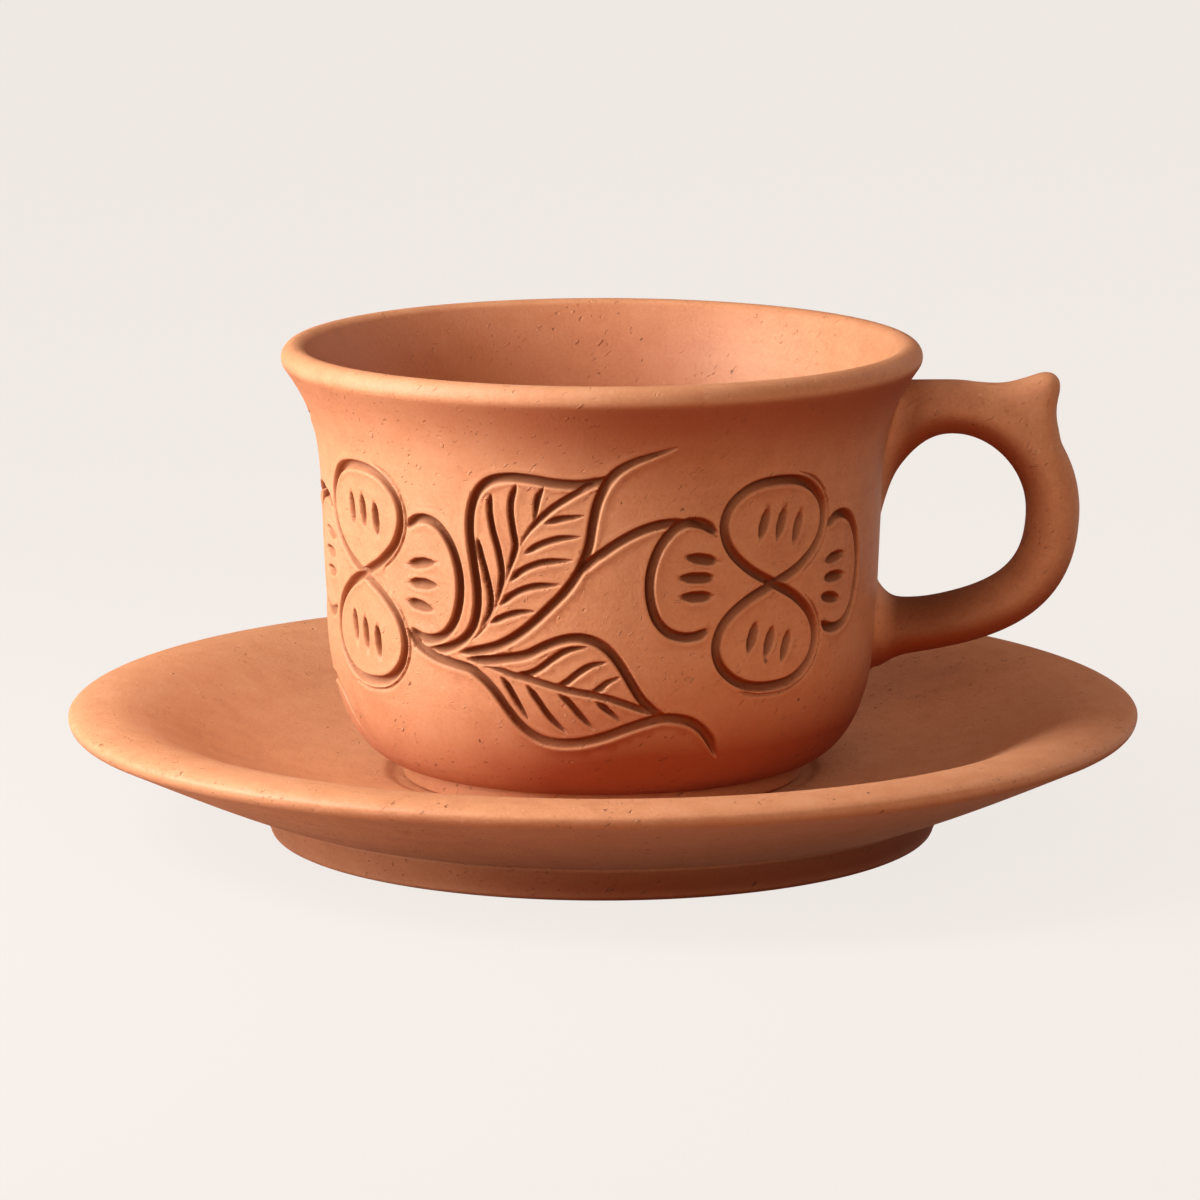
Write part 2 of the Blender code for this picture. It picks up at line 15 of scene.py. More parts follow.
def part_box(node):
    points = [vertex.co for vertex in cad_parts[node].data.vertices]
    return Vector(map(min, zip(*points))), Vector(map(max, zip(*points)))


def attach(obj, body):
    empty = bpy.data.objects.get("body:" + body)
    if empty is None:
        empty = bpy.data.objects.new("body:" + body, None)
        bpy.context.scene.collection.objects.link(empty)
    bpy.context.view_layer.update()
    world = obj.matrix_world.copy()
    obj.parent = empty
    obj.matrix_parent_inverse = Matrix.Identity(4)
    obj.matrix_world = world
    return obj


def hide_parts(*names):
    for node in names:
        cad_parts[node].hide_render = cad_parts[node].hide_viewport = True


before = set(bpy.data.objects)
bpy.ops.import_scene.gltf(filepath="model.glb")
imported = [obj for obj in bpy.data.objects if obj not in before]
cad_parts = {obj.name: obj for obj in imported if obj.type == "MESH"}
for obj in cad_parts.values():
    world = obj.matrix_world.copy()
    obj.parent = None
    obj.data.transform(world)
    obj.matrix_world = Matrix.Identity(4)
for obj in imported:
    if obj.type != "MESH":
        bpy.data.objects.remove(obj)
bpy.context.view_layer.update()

MM = 0.001


def node_box(node):
    """Lowest and highest corner of a CAD node, in mm."""
    low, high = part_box(node)
    return np.array(low) / MM, np.array(high) / MM


# Sizes that the frame gives
CUP_LOW, CUP_HIGH = node_box("cup_bowl")
CUP_FOOT_HIGH = node_box("cup_foot_ring")[1]
DISH_LOW, DISH_HIGH = node_box("saucer_dish")
SAUCER_FOOT_HIGH = node_box("saucer_foot_ring")[1]
HANDLE_LOW, HANDLE_HIGH = node_box("handle")

# Cup wall
RIM_RADIUS = CUP_HIGH[0]
RIM_TOP = CUP_HIGH[2]
CUP_BASE = CUP_LOW[2]
FOOT_RADIUS = CUP_FOOT_HIGH[0]
WALL = 3.8
BASE_THICKNESS = 4.2
LIP_FLARE = math.radians(35)
NECK = (39.2, 48.9)
WAIST = (38.45, 30.9)
BASE_SLOPE = math.radians(11)
FLARE_PULL_AT_LIP = 0.33
FLARE_PULL_AT_NECK = 0.50
BELLY_PULL_AT_WAIST = 0.44
BELLY_PULL_AT_BASE = 0.80

# Cup foot ring
CUP_FOOT_INSET = 0.1
CUP_FOOT_WALL = 4.2
CUP_FOOT_OVERLAP = 0.6
CUP_FOOT_LIFT = 0.04
CUP_FOOT_ROUND = 0.5

# Saucer
SAUCER_RADIUS = DISH_HIGH[0]
SAUCER_TOP = DISH_HIGH[2]
DISH_BASE = DISH_LOW[2]
SAUCER_FOOT_RADIUS = SAUCER_FOOT_HIGH[0]
SAUCER_FOOT_BASE_RADIUS = 46.8
SAUCER_FOOT_WALL = 4.2
SAUCER_FOOT_OVERLAP = 0.4
SAUCER_FOOT_ROUND = 0.9
TABLE = 0.0
SAUCER_FLOOR = 8.0
WELL_CLEARANCE = 0.5
WELL_RADIUS = FOOT_RADIUS + WELL_CLEARANCE
WELL_WIDTH = 2.6
WELL_DEPTH = 0.6
WELL_EDGE = (WELL_RADIUS + WELL_WIDTH, SAUCER_FLOOR + WELL_DEPTH)
WELL_PULL = 1.2
WELL_TILT = 0.05
DISH_PULL_AT_WELL = 0.60
DISH_PULL_AT_LIP = 0.26
LIP_RISE = 0.1
LIP_WIDTH = 4.8
LIP_DROP = 1.5
LIP_UNDERSIDE = 1.7
SIDE_SLOPE = math.radians(25)
SIDE_SLOPE_AT_FOOT = math.radians(18)
SIDE_PULL = 0.33

# Handle
HANDLE_TOP = 60.0
HANDLE_THICKNESS = 7.6
HANDLE_WIDTH = HANDLE_HIGH[1] - HANDLE_LOW[1]
HANDLE_CROWN = 48.95
KNUCKLE = (HANDLE_HIGH[0] - HANDLE_THICKNESS / 2, 45.5)
HANDLE_BOTTOM = 29.4
UPPER_ROOT = 38.7
LOWER_ROOT = (34.65, 28.0)
CORNER_PULL = 0.53
LOWER_PULL_AT_KNUCKLE = 0.80
LOWER_PULL_AT_ROOT = 0.68

# How the handle's roots spread: extra size at the wall, reach from it in mm, and power of the falloff
UPPER_ROOT_UNDER = [(10.4, 10.5, 2.2), (3.6, 3.0, 2)]
LOWER_ROOT_ABOVE = [(1.2, 9.0, 2), (3.6, 3.8, 2.2)]
LOWER_ROOT_UNDER = [(0.3, 9.0, 2), (1.2, 4.0, 2)]
ROOT_SIDES = [(1.2, 2.6, 2)]

# Thumb rest: where each of its bars starts on the bend and what pulls it on its way to the tip
HORN_BARS = [
    [(49.0, 60.0), (56.0, 60.2)],
    [(53.2, 59.5), (57.8, 60.4)],
    [(56.6, 58.0), (59.0, 60.0)],
    [(59.2, 55.4), (60.1, 59.0)],
    [(60.9, 52.6), (60.5, 58.6)],
]
HORN_TIP = (62.0, 62.9)
HORN_TIP_HALF = 2.1
HORN_TIP_WIDER = 0.3
HORN_THINNER = 0.1
HORN_NARROWER = 0.4
HORN_TAPER = 1.2

# Painted shade in the corners of the handle, at its lower root and under the rim: middle, reach and
# share
HANDLE_SHADE = [((45.0, 29.0), (13.0, 8.0), 0.64), ((41.5, 59.5), (4.8, 6.0), 0.55)]

# Painted shade inside the handle's loop, and how far from the wall all the handle's painted shade
# starts and over how much it grows
LOOP_MIDDLE = (48.0, 44.0)
LOOP_SHADE = 0.38
HANDLE_SHADE_START = 0.4
HANDLE_SHADE_FADE = 2.6

# Clay under the wall's skin that the handle melts into
PATCH_TOP = 62.0
PATCH_BOTTOM = 15.0
PATCH_HALF_ANGLE = math.radians(18)
PATCH_DEPTH = 0.12
PATCH_THICKNESS = 2.2
MELT_CELL = 0.38
SOFTEN_SHARE = 0.5
SOFTEN_ROUNDS = 22

# How far the two thrown pieces wander, in mm
CUP_WAVINESS = 0.2
SAUCER_WAVINESS = 0.35

# Waves round a thrown wall: share, times round, mm of height to a radian of twist, and start in radians
OUT_WAVES = [(0.5, 2, math.inf, 0.7), (0.35, 3, -17, 1.9), (0.2, 5, 9, 0.4)]

# Rise and fall round its edge: a saddle, a tilt and a ripple
SADDLE = 0.5
TILT = 0.4
RIPPLE = 0.15
RIPPLE_START = 0.9

# Fineness of the meshes: columns round the axis, then rows of each stretch
COLUMNS = 360
FLARE_ROWS = 30
NECK_ROWS = 20
BELLY_ROWS = 40
INNER_EVERY = 4
LIP_ROWS = 16
CUP_FLOOR_ROWS = 6
CUP_BASE_ROWS = 5
SAUCER_FLOOR_ROWS = 24
WELL_ROWS = 8
DISH_ROWS = 50
LIP_UNDERSIDE_ROWS = 10
SIDE_ROWS = 30
FOOT_ROWS = 5
HANDLE_UPPER_ROWS = 30
HANDLE_LOWER_ROWS = 60
HORN_ROWS = 15
HORN_CAP_ROWS = 7
BAR_SIDES = 40
PATCH_ROWS = 100
PATCH_COLUMNS = 50

# Fineness of the carved band in mm, and of a stroke's smooth path in steps
GRID_STEP = 1.0
STROKE_STEP = 0.35
FINEST_CELL = 0.10
PATH_STEPS = 12
FEWEST_STEPS = 4

# Points of a mesh this near to each other are merged, and edges this short are dropped, in metres
MERGED = 2e-6
DROPPED = 1e-7

# The carved band of the wall, and the radius at which arcs along it are measured
BAND_TOP = 62.0
BAND_BOTTOM = 14.0
BAND_MARGIN = 0.05
BAND_RADIUS = (NECK[0] + WAIST[0]) / 2
HANDLE_ARC = BAND_RADIUS * math.pi / 2


def bezier(start, start_handle, end_handle, end, steps):
    """Points of a cubic curve, both ends included."""
    t = np.linspace(0, 1, steps + 1)[:, None]
    corners = [np.array(p, float) for p in (start, start_handle, end_handle, end)]
    weights = [(1 - t) ** 3, 3 * (1 - t) ** 2 * t, 3 * (1 - t) * t ** 2, t ** 3]
    return sum(w * c for w, c in zip(weights, corners))


def arc(centre, half_width, half_height, start, end, steps):
    """Points of a round or oval arc, both ends included."""
    angle = np.linspace(start, end, steps + 1)
    return np.array(centre) + np.stack([np.cos(angle) * half_width, np.sin(angle) * half_height], 1)


def along(angle, length):
    return np.array([math.cos(angle), math.sin(angle)]) * length


def line(start, end, steps):
    return np.linspace(np.array(start, float), np.array(end, float), steps + 1)


def left_normals(path):
    """Normals on the left of a path, which is the outside of a profile that runs down."""
    tangent = np.gradient(path, axis=0)
    normal = np.stack([-tangent[:, 1], tangent[:, 0]], 1)
    return normal / np.linalg.norm(normal, axis=1)[:, None]


# Profiles

def cup_lip_centre():
    return np.array([RIM_RADIUS - WALL / 2, RIM_TOP - WALL / 2])


def cup_outer_profile():
    """The outer side of the cup, from under the lip down to the edge of the base."""
    lip_end = cup_lip_centre() + along(-LIP_FLARE, WALL / 2)
    neck = np.array(NECK)
    waist = np.array(WAIST)
    base = np.array([FOOT_RADIUS, CUP_BASE])
    lean = (waist - neck) / np.linalg.norm(waist - neck)
    flare_length = np.linalg.norm(lip_end - neck)
    flare = bezier(
        lip_end, lip_end + along(-LIP_FLARE - math.pi / 2, flare_length * FLARE_PULL_AT_LIP),
        neck - lean * flare_length * FLARE_PULL_AT_NECK, neck, FLARE_ROWS,
    )
    belly = bezier(
        waist, waist + lean * (waist[1] - base[1]) * BELLY_PULL_AT_WAIST,
        base + along(BASE_SLOPE, (waist[0] - base[0]) * BELLY_PULL_AT_BASE), base, BELLY_ROWS,
    )
    return np.concatenate([flare, line(neck, waist, NECK_ROWS)[1:-1], belly])


def cup_inner_profile(outer):
    """The inner side of the cup, from its floor up to the lip: the wall thickens towards the base."""
    height_share = np.clip((WAIST[1] - outer[:, 1]) / (WAIST[1] - CUP_BASE), 0, 1)
    thickness = WALL + (BASE_THICKNESS - WALL) * height_share
    return (outer - left_normals(outer) * thickness[:, None])[::-1]


def saucer_profile():
    """The whole dish, from the middle of its floor over the lip to the middle of its underside."""
    edge = np.array([SAUCER_RADIUS, SAUCER_TOP + LIP_RISE - LIP_DROP])
    lip = arc(edge - (LIP_WIDTH, 0), LIP_WIDTH, LIP_DROP, math.pi / 2, 0, LIP_ROWS)
    under = arc(
        edge - (LIP_UNDERSIDE, 0), LIP_UNDERSIDE, LIP_UNDERSIDE,
        0, SIDE_SLOPE - math.pi / 2, LIP_UNDERSIDE_ROWS,
    )
    crest = lip[0]
    well_edge = np.array(WELL_EDGE)
    span = np.array([crest[0] - well_edge[0], 0])
    dish = bezier(
        well_edge, well_edge + span * DISH_PULL_AT_WELL,
        crest - span * DISH_PULL_AT_LIP, crest, DISH_ROWS,
    )
    floor = line((0, SAUCER_FLOOR), (WELL_RADIUS, SAUCER_FLOOR), SAUCER_FLOOR_ROWS)
    well = bezier(
        floor[-1], floor[-1] + (WELL_PULL, 0),
        well_edge - (WELL_PULL, WELL_TILT), well_edge, WELL_ROWS,
    )
    foot = np.array([SAUCER_FOOT_RADIUS, DISH_BASE])
    pull = (under[-1][0] - foot[0]) * SIDE_PULL
    side = bezier(
        under[-1], under[-1] + along(math.pi + SIDE_SLOPE, pull),
        foot + along(SIDE_SLOPE_AT_FOOT, pull), foot, SIDE_ROWS,
    )
    underside = line(foot, (0, DISH_BASE), SAUCER_FLOOR_ROWS)
    return np.concatenate([floor, well[1:], dish[1:], lip[1:], under[1:], side[1:], underside[1:]])


def ring_profile(top_radius, base_radius, inner_radius, top, base, round_radius):
    """A foot ring's closed section, with the two edges at its base rounded."""
    outer = arc(
        (base_radius - round_radius, base + round_radius), round_radius, round_radius,
        0, -math.pi / 2, FOOT_ROWS,
    )
    inner = arc(
        (inner_radius + round_radius, base + round_radius), round_radius, round_radius,
        -math.pi / 2, -math.pi, FOOT_ROWS,
    )
    side = line((top_radius, top), outer[0], FOOT_ROWS)
    return np.concatenate([side[:-1], outer, inner, [(inner_radius, top)]])


# Meshes

def turned_grid(profile, closed=False):
    """Points and faces of a turned profile, with the seam at the handle."""
    angle = np.arange(COLUMNS) * math.tau / COLUMNS
    radius = profile[:, 0][:, None]
    x = radius * np.cos(angle)
    y = radius * np.sin(angle)
    z = np.repeat(profile[:, 1][:, None], COLUMNS, axis=1)
    points = np.stack([x, y, z], 2).reshape(-1, 3)
    rows = len(profile)
    lower = np.arange(rows if closed else rows - 1)
    i, j = np.meshgrid(lower, np.arange(COLUMNS), indexing="ij")
    following = (i + 1) % rows
    beside = (j + 1) % COLUMNS
    row = i * COLUMNS
    next_row = following * COLUMNS
    faces = np.stack([row + j, next_row + j, next_row + beside, row + beside], 2)
    return points, faces.reshape(-1, 4).tolist()


def set_painted_shade(mesh, painted_shade):
    """Stores how much shade is painted on each point, for the clay to read."""
    layer = mesh.attributes.new("carved", "FLOAT", "POINT")
    layer.data.foreach_set("value", painted_shade.astype(np.float32))


def joined(parts):
    """Points and faces of several meshes as one."""
    points = []
    faces = []
    for part_points, part_faces in parts:
        offset = sum(len(p) for p in points)
        points.append(part_points)
        faces += [[offset + i for i in face] for face in part_faces]
    return np.concatenate(points), faces


def make_piece(name, points, faces, painted_shade=None):
    """A smooth closed mesh from points in mm, with its coinciding points merged."""
    mesh = bpy.data.meshes.new(name)
    mesh.from_pydata((points * MM).tolist(), [], faces)
    if painted_shade is not None:
        set_painted_shade(mesh, painted_shade)
    shape = bmesh.new()
    shape.from_mesh(mesh)
    bmesh.ops.remove_doubles(shape, verts=shape.verts, dist=MERGED)
    bmesh.ops.dissolve_degenerate(shape, edges=shape.edges, dist=DROPPED)
    bmesh.ops.recalc_face_normals(shape, faces=shape.faces)
    shape.to_mesh(mesh)
    shape.free()
    mesh.shade_smooth()
    piece = bpy.data.objects.new(name, mesh)
    bpy.context.scene.collection.objects.link(piece)
    return piece


def hand_made(points, waviness):
    """Moves points a little, as a thrown wall wanders: out of round, and up at the front and back."""
    angle = np.arctan2(points[:, 1], points[:, 0])
    radius = np.hypot(points[:, 0], points[:, 1])
    height = points[:, 2]
    out = sum(
        size * np.sin(times * angle + height / twist + start) for size, times, twist, start in OUT_WAVES
    )
    up = -SADDLE * np.cos(2 * angle) - TILT * np.sin(angle) + RIPPLE * np.sin(3 * angle + RIPPLE_START)
    share = waviness * np.clip(radius / SAUCER_RADIUS, 0, 1)
    moved = points.copy()
    moved[:, 0] += np.cos(angle) * out * share
    moved[:, 1] += np.sin(angle) * out * share
    moved[:, 2] += up * share
    return moved


# Carving: each stroke is a path on the unrolled wall, in mm from the front and above the table

# Kinds of stroke: width, depth, and the lengths over which its start and its end thin out
OUTLINE = (1.40, 1.05, 2.5, 3.0)
LEAF_TIP = (1.40, 1.05, 2.5, 9.0)
LOBE = (1.40, 1.05, 0.0, 0.0)
CURL = (1.40, 1.05, 1.2, 1.2)
VEIN = (1.00, 0.80, 1.4, 3.0)
MIDRIB = (1.00, 0.75, 5.0, 2.0)
HAIRLINE = (0.50, 0.22, 1.0, 3.0)
DASH = (1.60, 1.00, 1.2, 1.7)
DASH_HALF = 2.2

# The least that is left of a stroke at its thinned ends, and how blunt these are
THINNEST = 0.12
END_BLUNTNESS = 0.5

# The gouge leans: it leaves a steep wall on the upper left of a stroke and a slope on the lower right
STEEP_SIDE = np.array([-0.78, 0.63])
BED_ROUNDNESS = 3.1
BED_LEAN = 1.8

# Painted shade in a groove: its share, more on the steep side away from the light, the depth that holds
# it, and its end at the edge
GROOVE_SHADE_SHARE = 0.84
GROOVE_SHADE_LEAN = 0.60
GROOVE_SHADE_LEAST = 0.15
SHADED_DEPTH = 0.6
GROOVE_SHADE_END = 1.02
GROOVE_SHADE_FADE = 0.14

# The burr beside a groove: height against its depth, less on the steep side, then place and width in mm
BURR_HEIGHT = 0.10
BURR_LEAN = 0.05
BURR_PLACE = 0.2
BURR_WIDTH = 0.17
BURR_LOST_DEPTH = 0.1
STROKE_REACH = 1.2
NO_DISTANCE = 1e-6
SAME_POINT = 1e-5

# Rows of points along a stroke: share of its half width and mm beyond that, with the edges first
STROKE_ROWS = [(1.0, 0.0), (0.84, 0.0), (0.0, 0.0), (0.70, 0.0), (0.42, 0.0), (1.0, 0.2), (1.0, 0.6)]

# Faint second lines beside a flower's lobes: which lobe, its stretch of the line, and how far beside it
ECHOES = [(0, 0.10, 0.45), (1, 0.42, 0.88)]
ECHO_OFFSET = 1.15
ECHO_EVERY = 8

# Where the grooves' painted shade is lighter, on the lit left of the wall: middle and reach along the
# wall, and the share
LIT_ARC = -43.0
LIT_REACH = 15.0
LIT_SHARE = 0.50

# The ornament goes round three times; a flower's points are measured from its crossing
FLOWER_PITCH = 63.7
REPEATS = 3
LOBE_HALF = [(0, 0), (4.2, 2.1), (7.4, 4.9), (8.6, 8.2), (7.6, 11.3), (4.5, 13.6), (0.3, 14.3)]
CURL_POINTS = [
    (9.7, 7.2), (11.5, 8.5), (13.6, 8.7), (15.6, 7.8), (17.3, 5.7), (18.3, 3.0), (18.6, 0.2),
    (18.2, -2.6), (17.2, -4.9), (15.5, -6.5), (13.2, -7.1), (11.2, -6.8), (9.9, -6.0),
]
LOBE_DASHES = [(-2.4, 8.3), (0.5, 8.3), (3.5, 7.6), (-3.0, -7.4), (-0.1, -8.1), (2.9, -8.8)]
CURL_DASHES = [
    [(9.9, 2.4), (12.2, 2.8), (14.5, 3.1)],
    [(9.9, 0.0), (12.3, 0.1), (14.8, 0.1)],
    [(9.5, -2.5), (11.7, -2.8), (14.0, -3.2)],
    [(-9.3, 3.4), (-11.6, 3.7), (-13.9, 4.0)],
    [(-9.6, 1.1), (-12.1, 1.1), (-14.6, 1.1)],
    [(-9.7, -1.4), (-12.0, -1.5), (-14.3, -1.5)],
]

SPRAY = [
    (OUTLINE, [(-25.2, 31.5), (-22.5, 31.8), (-20.0, 33.0), (-18.3, 34.9), (-17.5, 37.5), (-17.4, 40.5),
        (-17.9, 44.5), (-18.3, 48.0), (-18.1, 51.0), (-17.1, 53.6), (-15.2, 55.4), (-12.5, 56.1),
        (-9.5, 56.0), (-6.0, 55.5), (-2.8, 55.4), (-0.2, 55.9), (1.6, 56.9)]),
    (LEAF_TIP, [(-20.3, 31.4), (-17.5, 31.9), (-14.5, 32.8), (-11.8, 34.3), (-9.5, 36.1), (-7.0, 38.5),
        (-5.0, 40.6), (-3.3, 43.0), (-2.2, 45.4), (-1.6, 47.5), (-1.2, 50.0), (-0.6, 52.7),
        (0.4, 55.1), (2.0, 57.2), (4.3, 58.6), (7.0, 59.6), (9.7, 60.5)]),
    (LEAF_TIP, [(-3.6, 42.5), (-1.8, 44.5), (0.0, 45.9), (2.5, 47.6), (5.0, 48.9), (7.5, 49.7),
        (10.0, 50.0), (12.3, 49.7), (14.3, 48.9), (15.9, 47.6)]),
    (OUTLINE, [(-29.4, 33.8), (-28.4, 32.5), (-26.6, 31.3), (-24.0, 30.3), (-21.0, 29.7), (-18.6, 29.2),
        (-16.6, 27.9), (-14.9, 26.2), (-13.3, 24.0), (-11.8, 22.1), (-10.0, 20.6), (-7.7, 19.6),
        (-4.8, 19.4), (-2.0, 19.8), (0.8, 20.6), (3.5, 21.6), (6.0, 22.4), (8.2, 22.9),
        (10.4, 22.8), (12.6, 22.2), (14.5, 20.9), (15.9, 19.3), (16.8, 17.7), (17.3, 16.8)]),
    (OUTLINE, [(-19.2, 30.6), (-16.0, 30.7), (-13.0, 31.2), (-10.3, 31.8), (-7.7, 33.1), (-5.3, 34.0),
        (-3.0, 34.3), (-0.9, 33.8), (0.8, 32.7), (2.1, 31.2), (3.3, 29.3), (4.5, 27.2),
        (5.8, 25.3), (7.3, 24.0), (9.2, 23.1)]),
    (MIDRIB, [(-11.0, 46.9), (-10.0, 48.6), (-8.6, 50.2), (-6.8, 51.9), (-4.8, 53.3), (-2.5, 54.7),
        (-0.2, 55.6)]),
    (HAIRLINE, [(-11.0, 46.9), (-12.2, 44.2), (-13.4, 41.3), (-14.7, 38.2), (-16.2, 35.4),
        (-18.6, 33.0)]),
    (MIDRIB, [(-16.6, 29.8), (-14.0, 29.4), (-12.0, 28.8), (-9.8, 28.4), (-7.3, 27.7), (-4.8, 27.1),
        (-2.2, 26.6), (0.3, 26.1), (2.8, 25.3), (5.2, 24.4), (7.6, 23.5)]),
    (VEIN, [(-17.2, 47.5), (-16.7, 45.2), (-15.9, 42.3), (-15.4, 39.6), (-15.6, 37.4), (-16.8, 35.2)]),
    (VEIN, [(-15.0, 53.7), (-15.3, 51.6), (-14.9, 48.8), (-14.1, 45.8), (-13.7, 42.8), (-14.0, 40.6),
        (-14.6, 38.7)]),
    (VEIN, [(-11.4, 55.2), (-12.1, 53.2), (-12.3, 51.2), (-12.0, 48.8), (-11.7, 46.8), (-12.2, 44.8),
        (-13.0, 42.5)]),
    (VEIN, [(-7.7, 54.9), (-8.5, 53.4), (-8.8, 51.7), (-9.1, 50.0)]),
    (VEIN, [(-7.6, 50.0), (-5.5, 50.6), (-2.4, 51.1)]),
    (VEIN, [(-10.5, 45.7), (-8.3, 47.0), (-5.7, 47.9), (-2.9, 48.2)]),
    (VEIN, [(-12.6, 41.8), (-10.6, 43.5), (-7.8, 44.6), (-4.0, 45.0)]),
    (VEIN, [(-14.1, 38.4), (-12.0, 40.1), (-9.3, 41.2), (-5.7, 41.6)]),
    (VEIN, [(-15.6, 35.8), (-13.4, 36.9), (-11.2, 37.6), (-9.1, 37.8)]),
    (VEIN, [(-12.2, 28.9), (-10.2, 29.1), (-8.6, 29.9), (-6.6, 31.4), (-4.6, 32.6), (-2.0, 33.1)]),
    (VEIN, [(-6.4, 27.5), (-4.9, 28.1), (-3.3, 29.4), (-1.5, 30.5), (0.7, 31.0)]),
    (VEIN, [(-1.6, 26.7), (-0.3, 27.3), (0.8, 28.2), (2.5, 28.9)]),
    (VEIN, [(-14.1, 28.5), (-13.0, 27.1), (-11.8, 25.0), (-10.3, 22.6)]),
    (VEIN, [(-10.4, 27.5), (-9.0, 25.7), (-7.2, 23.1), (-4.9, 20.9)]),
    (VEIN, [(-6.0, 26.4), (-4.6, 25.4), (-3.0, 23.5), (-1.1, 21.5)]),
    (VEIN, [(-0.9, 25.5), (0.6, 24.4), (2.6, 22.7)]),
]

# Each flower: place of its crossing, lean of the whole and of its dashes, and height against the first
FLOWERS = [
    {"crossing": (25.0, 40.5), "lean": -3, "dash_lean": -13, "height": 1.0},
    {"crossing": (-38.6, 40.2), "lean": 0, "dash_lean": 6, "height": 1.05},
    {"crossing": (25.0 - 2 * FLOWER_PITCH, 40.4), "lean": -2, "dash_lean": -6, "height": 1.02},
]


def smooth_path(points, step):
    """An even walk along the smooth curve through given points."""
    points = np.array(points, float)
    before = np.vstack([2 * points[0] - points[1], points[:-1]])
    after = np.vstack([points[1:], 2 * points[-1] - points[-2]])
    tangent = (after - before) / 2
    pieces = []
    for i in range(len(points) - 1):
        leaving = points[i] + tangent[i] / 3
        arriving = points[i + 1] - tangent[i + 1] / 3
        pieces.append(bezier(points[i], leaving, arriving, points[i + 1], PATH_STEPS)[:-1])
    fine = np.vstack(pieces + [points[-1:]])
    travelled = np.concatenate([[0], np.cumsum(np.linalg.norm(np.diff(fine, axis=0), axis=1))])
    count = max(int(round(travelled[-1] / step)), FEWEST_STEPS)
    even = np.linspace(0, travelled[-1], count + 1)
    return np.stack([np.interp(even, travelled, fine[:, k]) for k in (0, 1)], 1), even


def make_stroke(kind, points):
    """A stroke's path, with its half width and depth at each of its points."""
    width, depth, thin_start, thin_end = kind
    path, travelled = smooth_path(points, STROKE_STEP)
    thin = np.ones(len(path))
    for length, left in ((thin_start, travelled), (thin_end, travelled[-1] - travelled)):
        if length:
            thin *= np.clip(left / length, 0, 1) ** END_BLUNTNESS
    thin = np.maximum(thin, THINNEST)
    return {"path": path, "half_width": width / 2 * thin, "depth": depth * thin}


def turned(points, degrees):
    angle = math.radians(degrees)
    x, y = np.array(points, float).T
    across = x * math.cos(angle) - y * math.sin(angle)
    up = x * math.sin(angle) + y * math.cos(angle)
    return np.stack([across, up], 1)


def flower_strokes(flower):
    """Two lobes in one crossing line, two curls beside them, and three dashes in each petal."""
    mirrored = [(-x, y) for x, y in LOBE_HALF[-2::-1]]
    lobe = np.array(LOBE_HALF + mirrored, float)
    curl = np.array(CURL_POINTS, float)
    shapes = [(LOBE, lobe), (LOBE, -lobe), (CURL, curl), (CURL, curl * (-1, 1))]
    upright = turned([(0, DASH_HALF), (0, 0), (0, -DASH_HALF)], flower["dash_lean"])
    shapes += [(DASH, upright + np.array(centre)) for centre in LOBE_DASHES]
    shapes += [(DASH, np.array(dash)) for dash in CURL_DASHES]
    strokes = []
    for kind, points in shapes:
        placed = turned(points * (1, flower["height"]), flower["lean"]) + np.array(flower["crossing"])
        strokes.append(make_stroke(kind, placed))
    strokes += [echo(strokes[lobe], start, end) for lobe, start, end in ECHOES]
    return strokes


def echo(stroke, start, end):
    """A faint second line beside part of a stroke, where the tool's heel dragged."""
    beside = stroke["path"] - left_normals(stroke["path"]) * ECHO_OFFSET
    count = len(beside)
    return make_stroke(HAIRLINE, beside[int(start * count):int(end * count):ECHO_EVERY])


def all_strokes():
    strokes = []
    for flower in FLOWERS:
        strokes += flower_strokes(flower)
    for repeat in range(REPEATS):
        for kind, points in SPRAY:
            strokes.append(make_stroke(kind, np.array(points) - (repeat * FLOWER_PITCH, 0)))
    return strokes


def rows_beside(stroke):
    """Points in rows along a stroke: its edges first, then its bed and the clay beside it."""
    path = stroke["path"]
    normal = left_normals(path)
    half = stroke["half_width"][:, None]
    rows = []
    for share, extra in STROKE_ROWS:
        offset = normal * (half * share + extra)
        rows.append(path + offset)
        if share:
            rows.append(path - offset)
    return rows


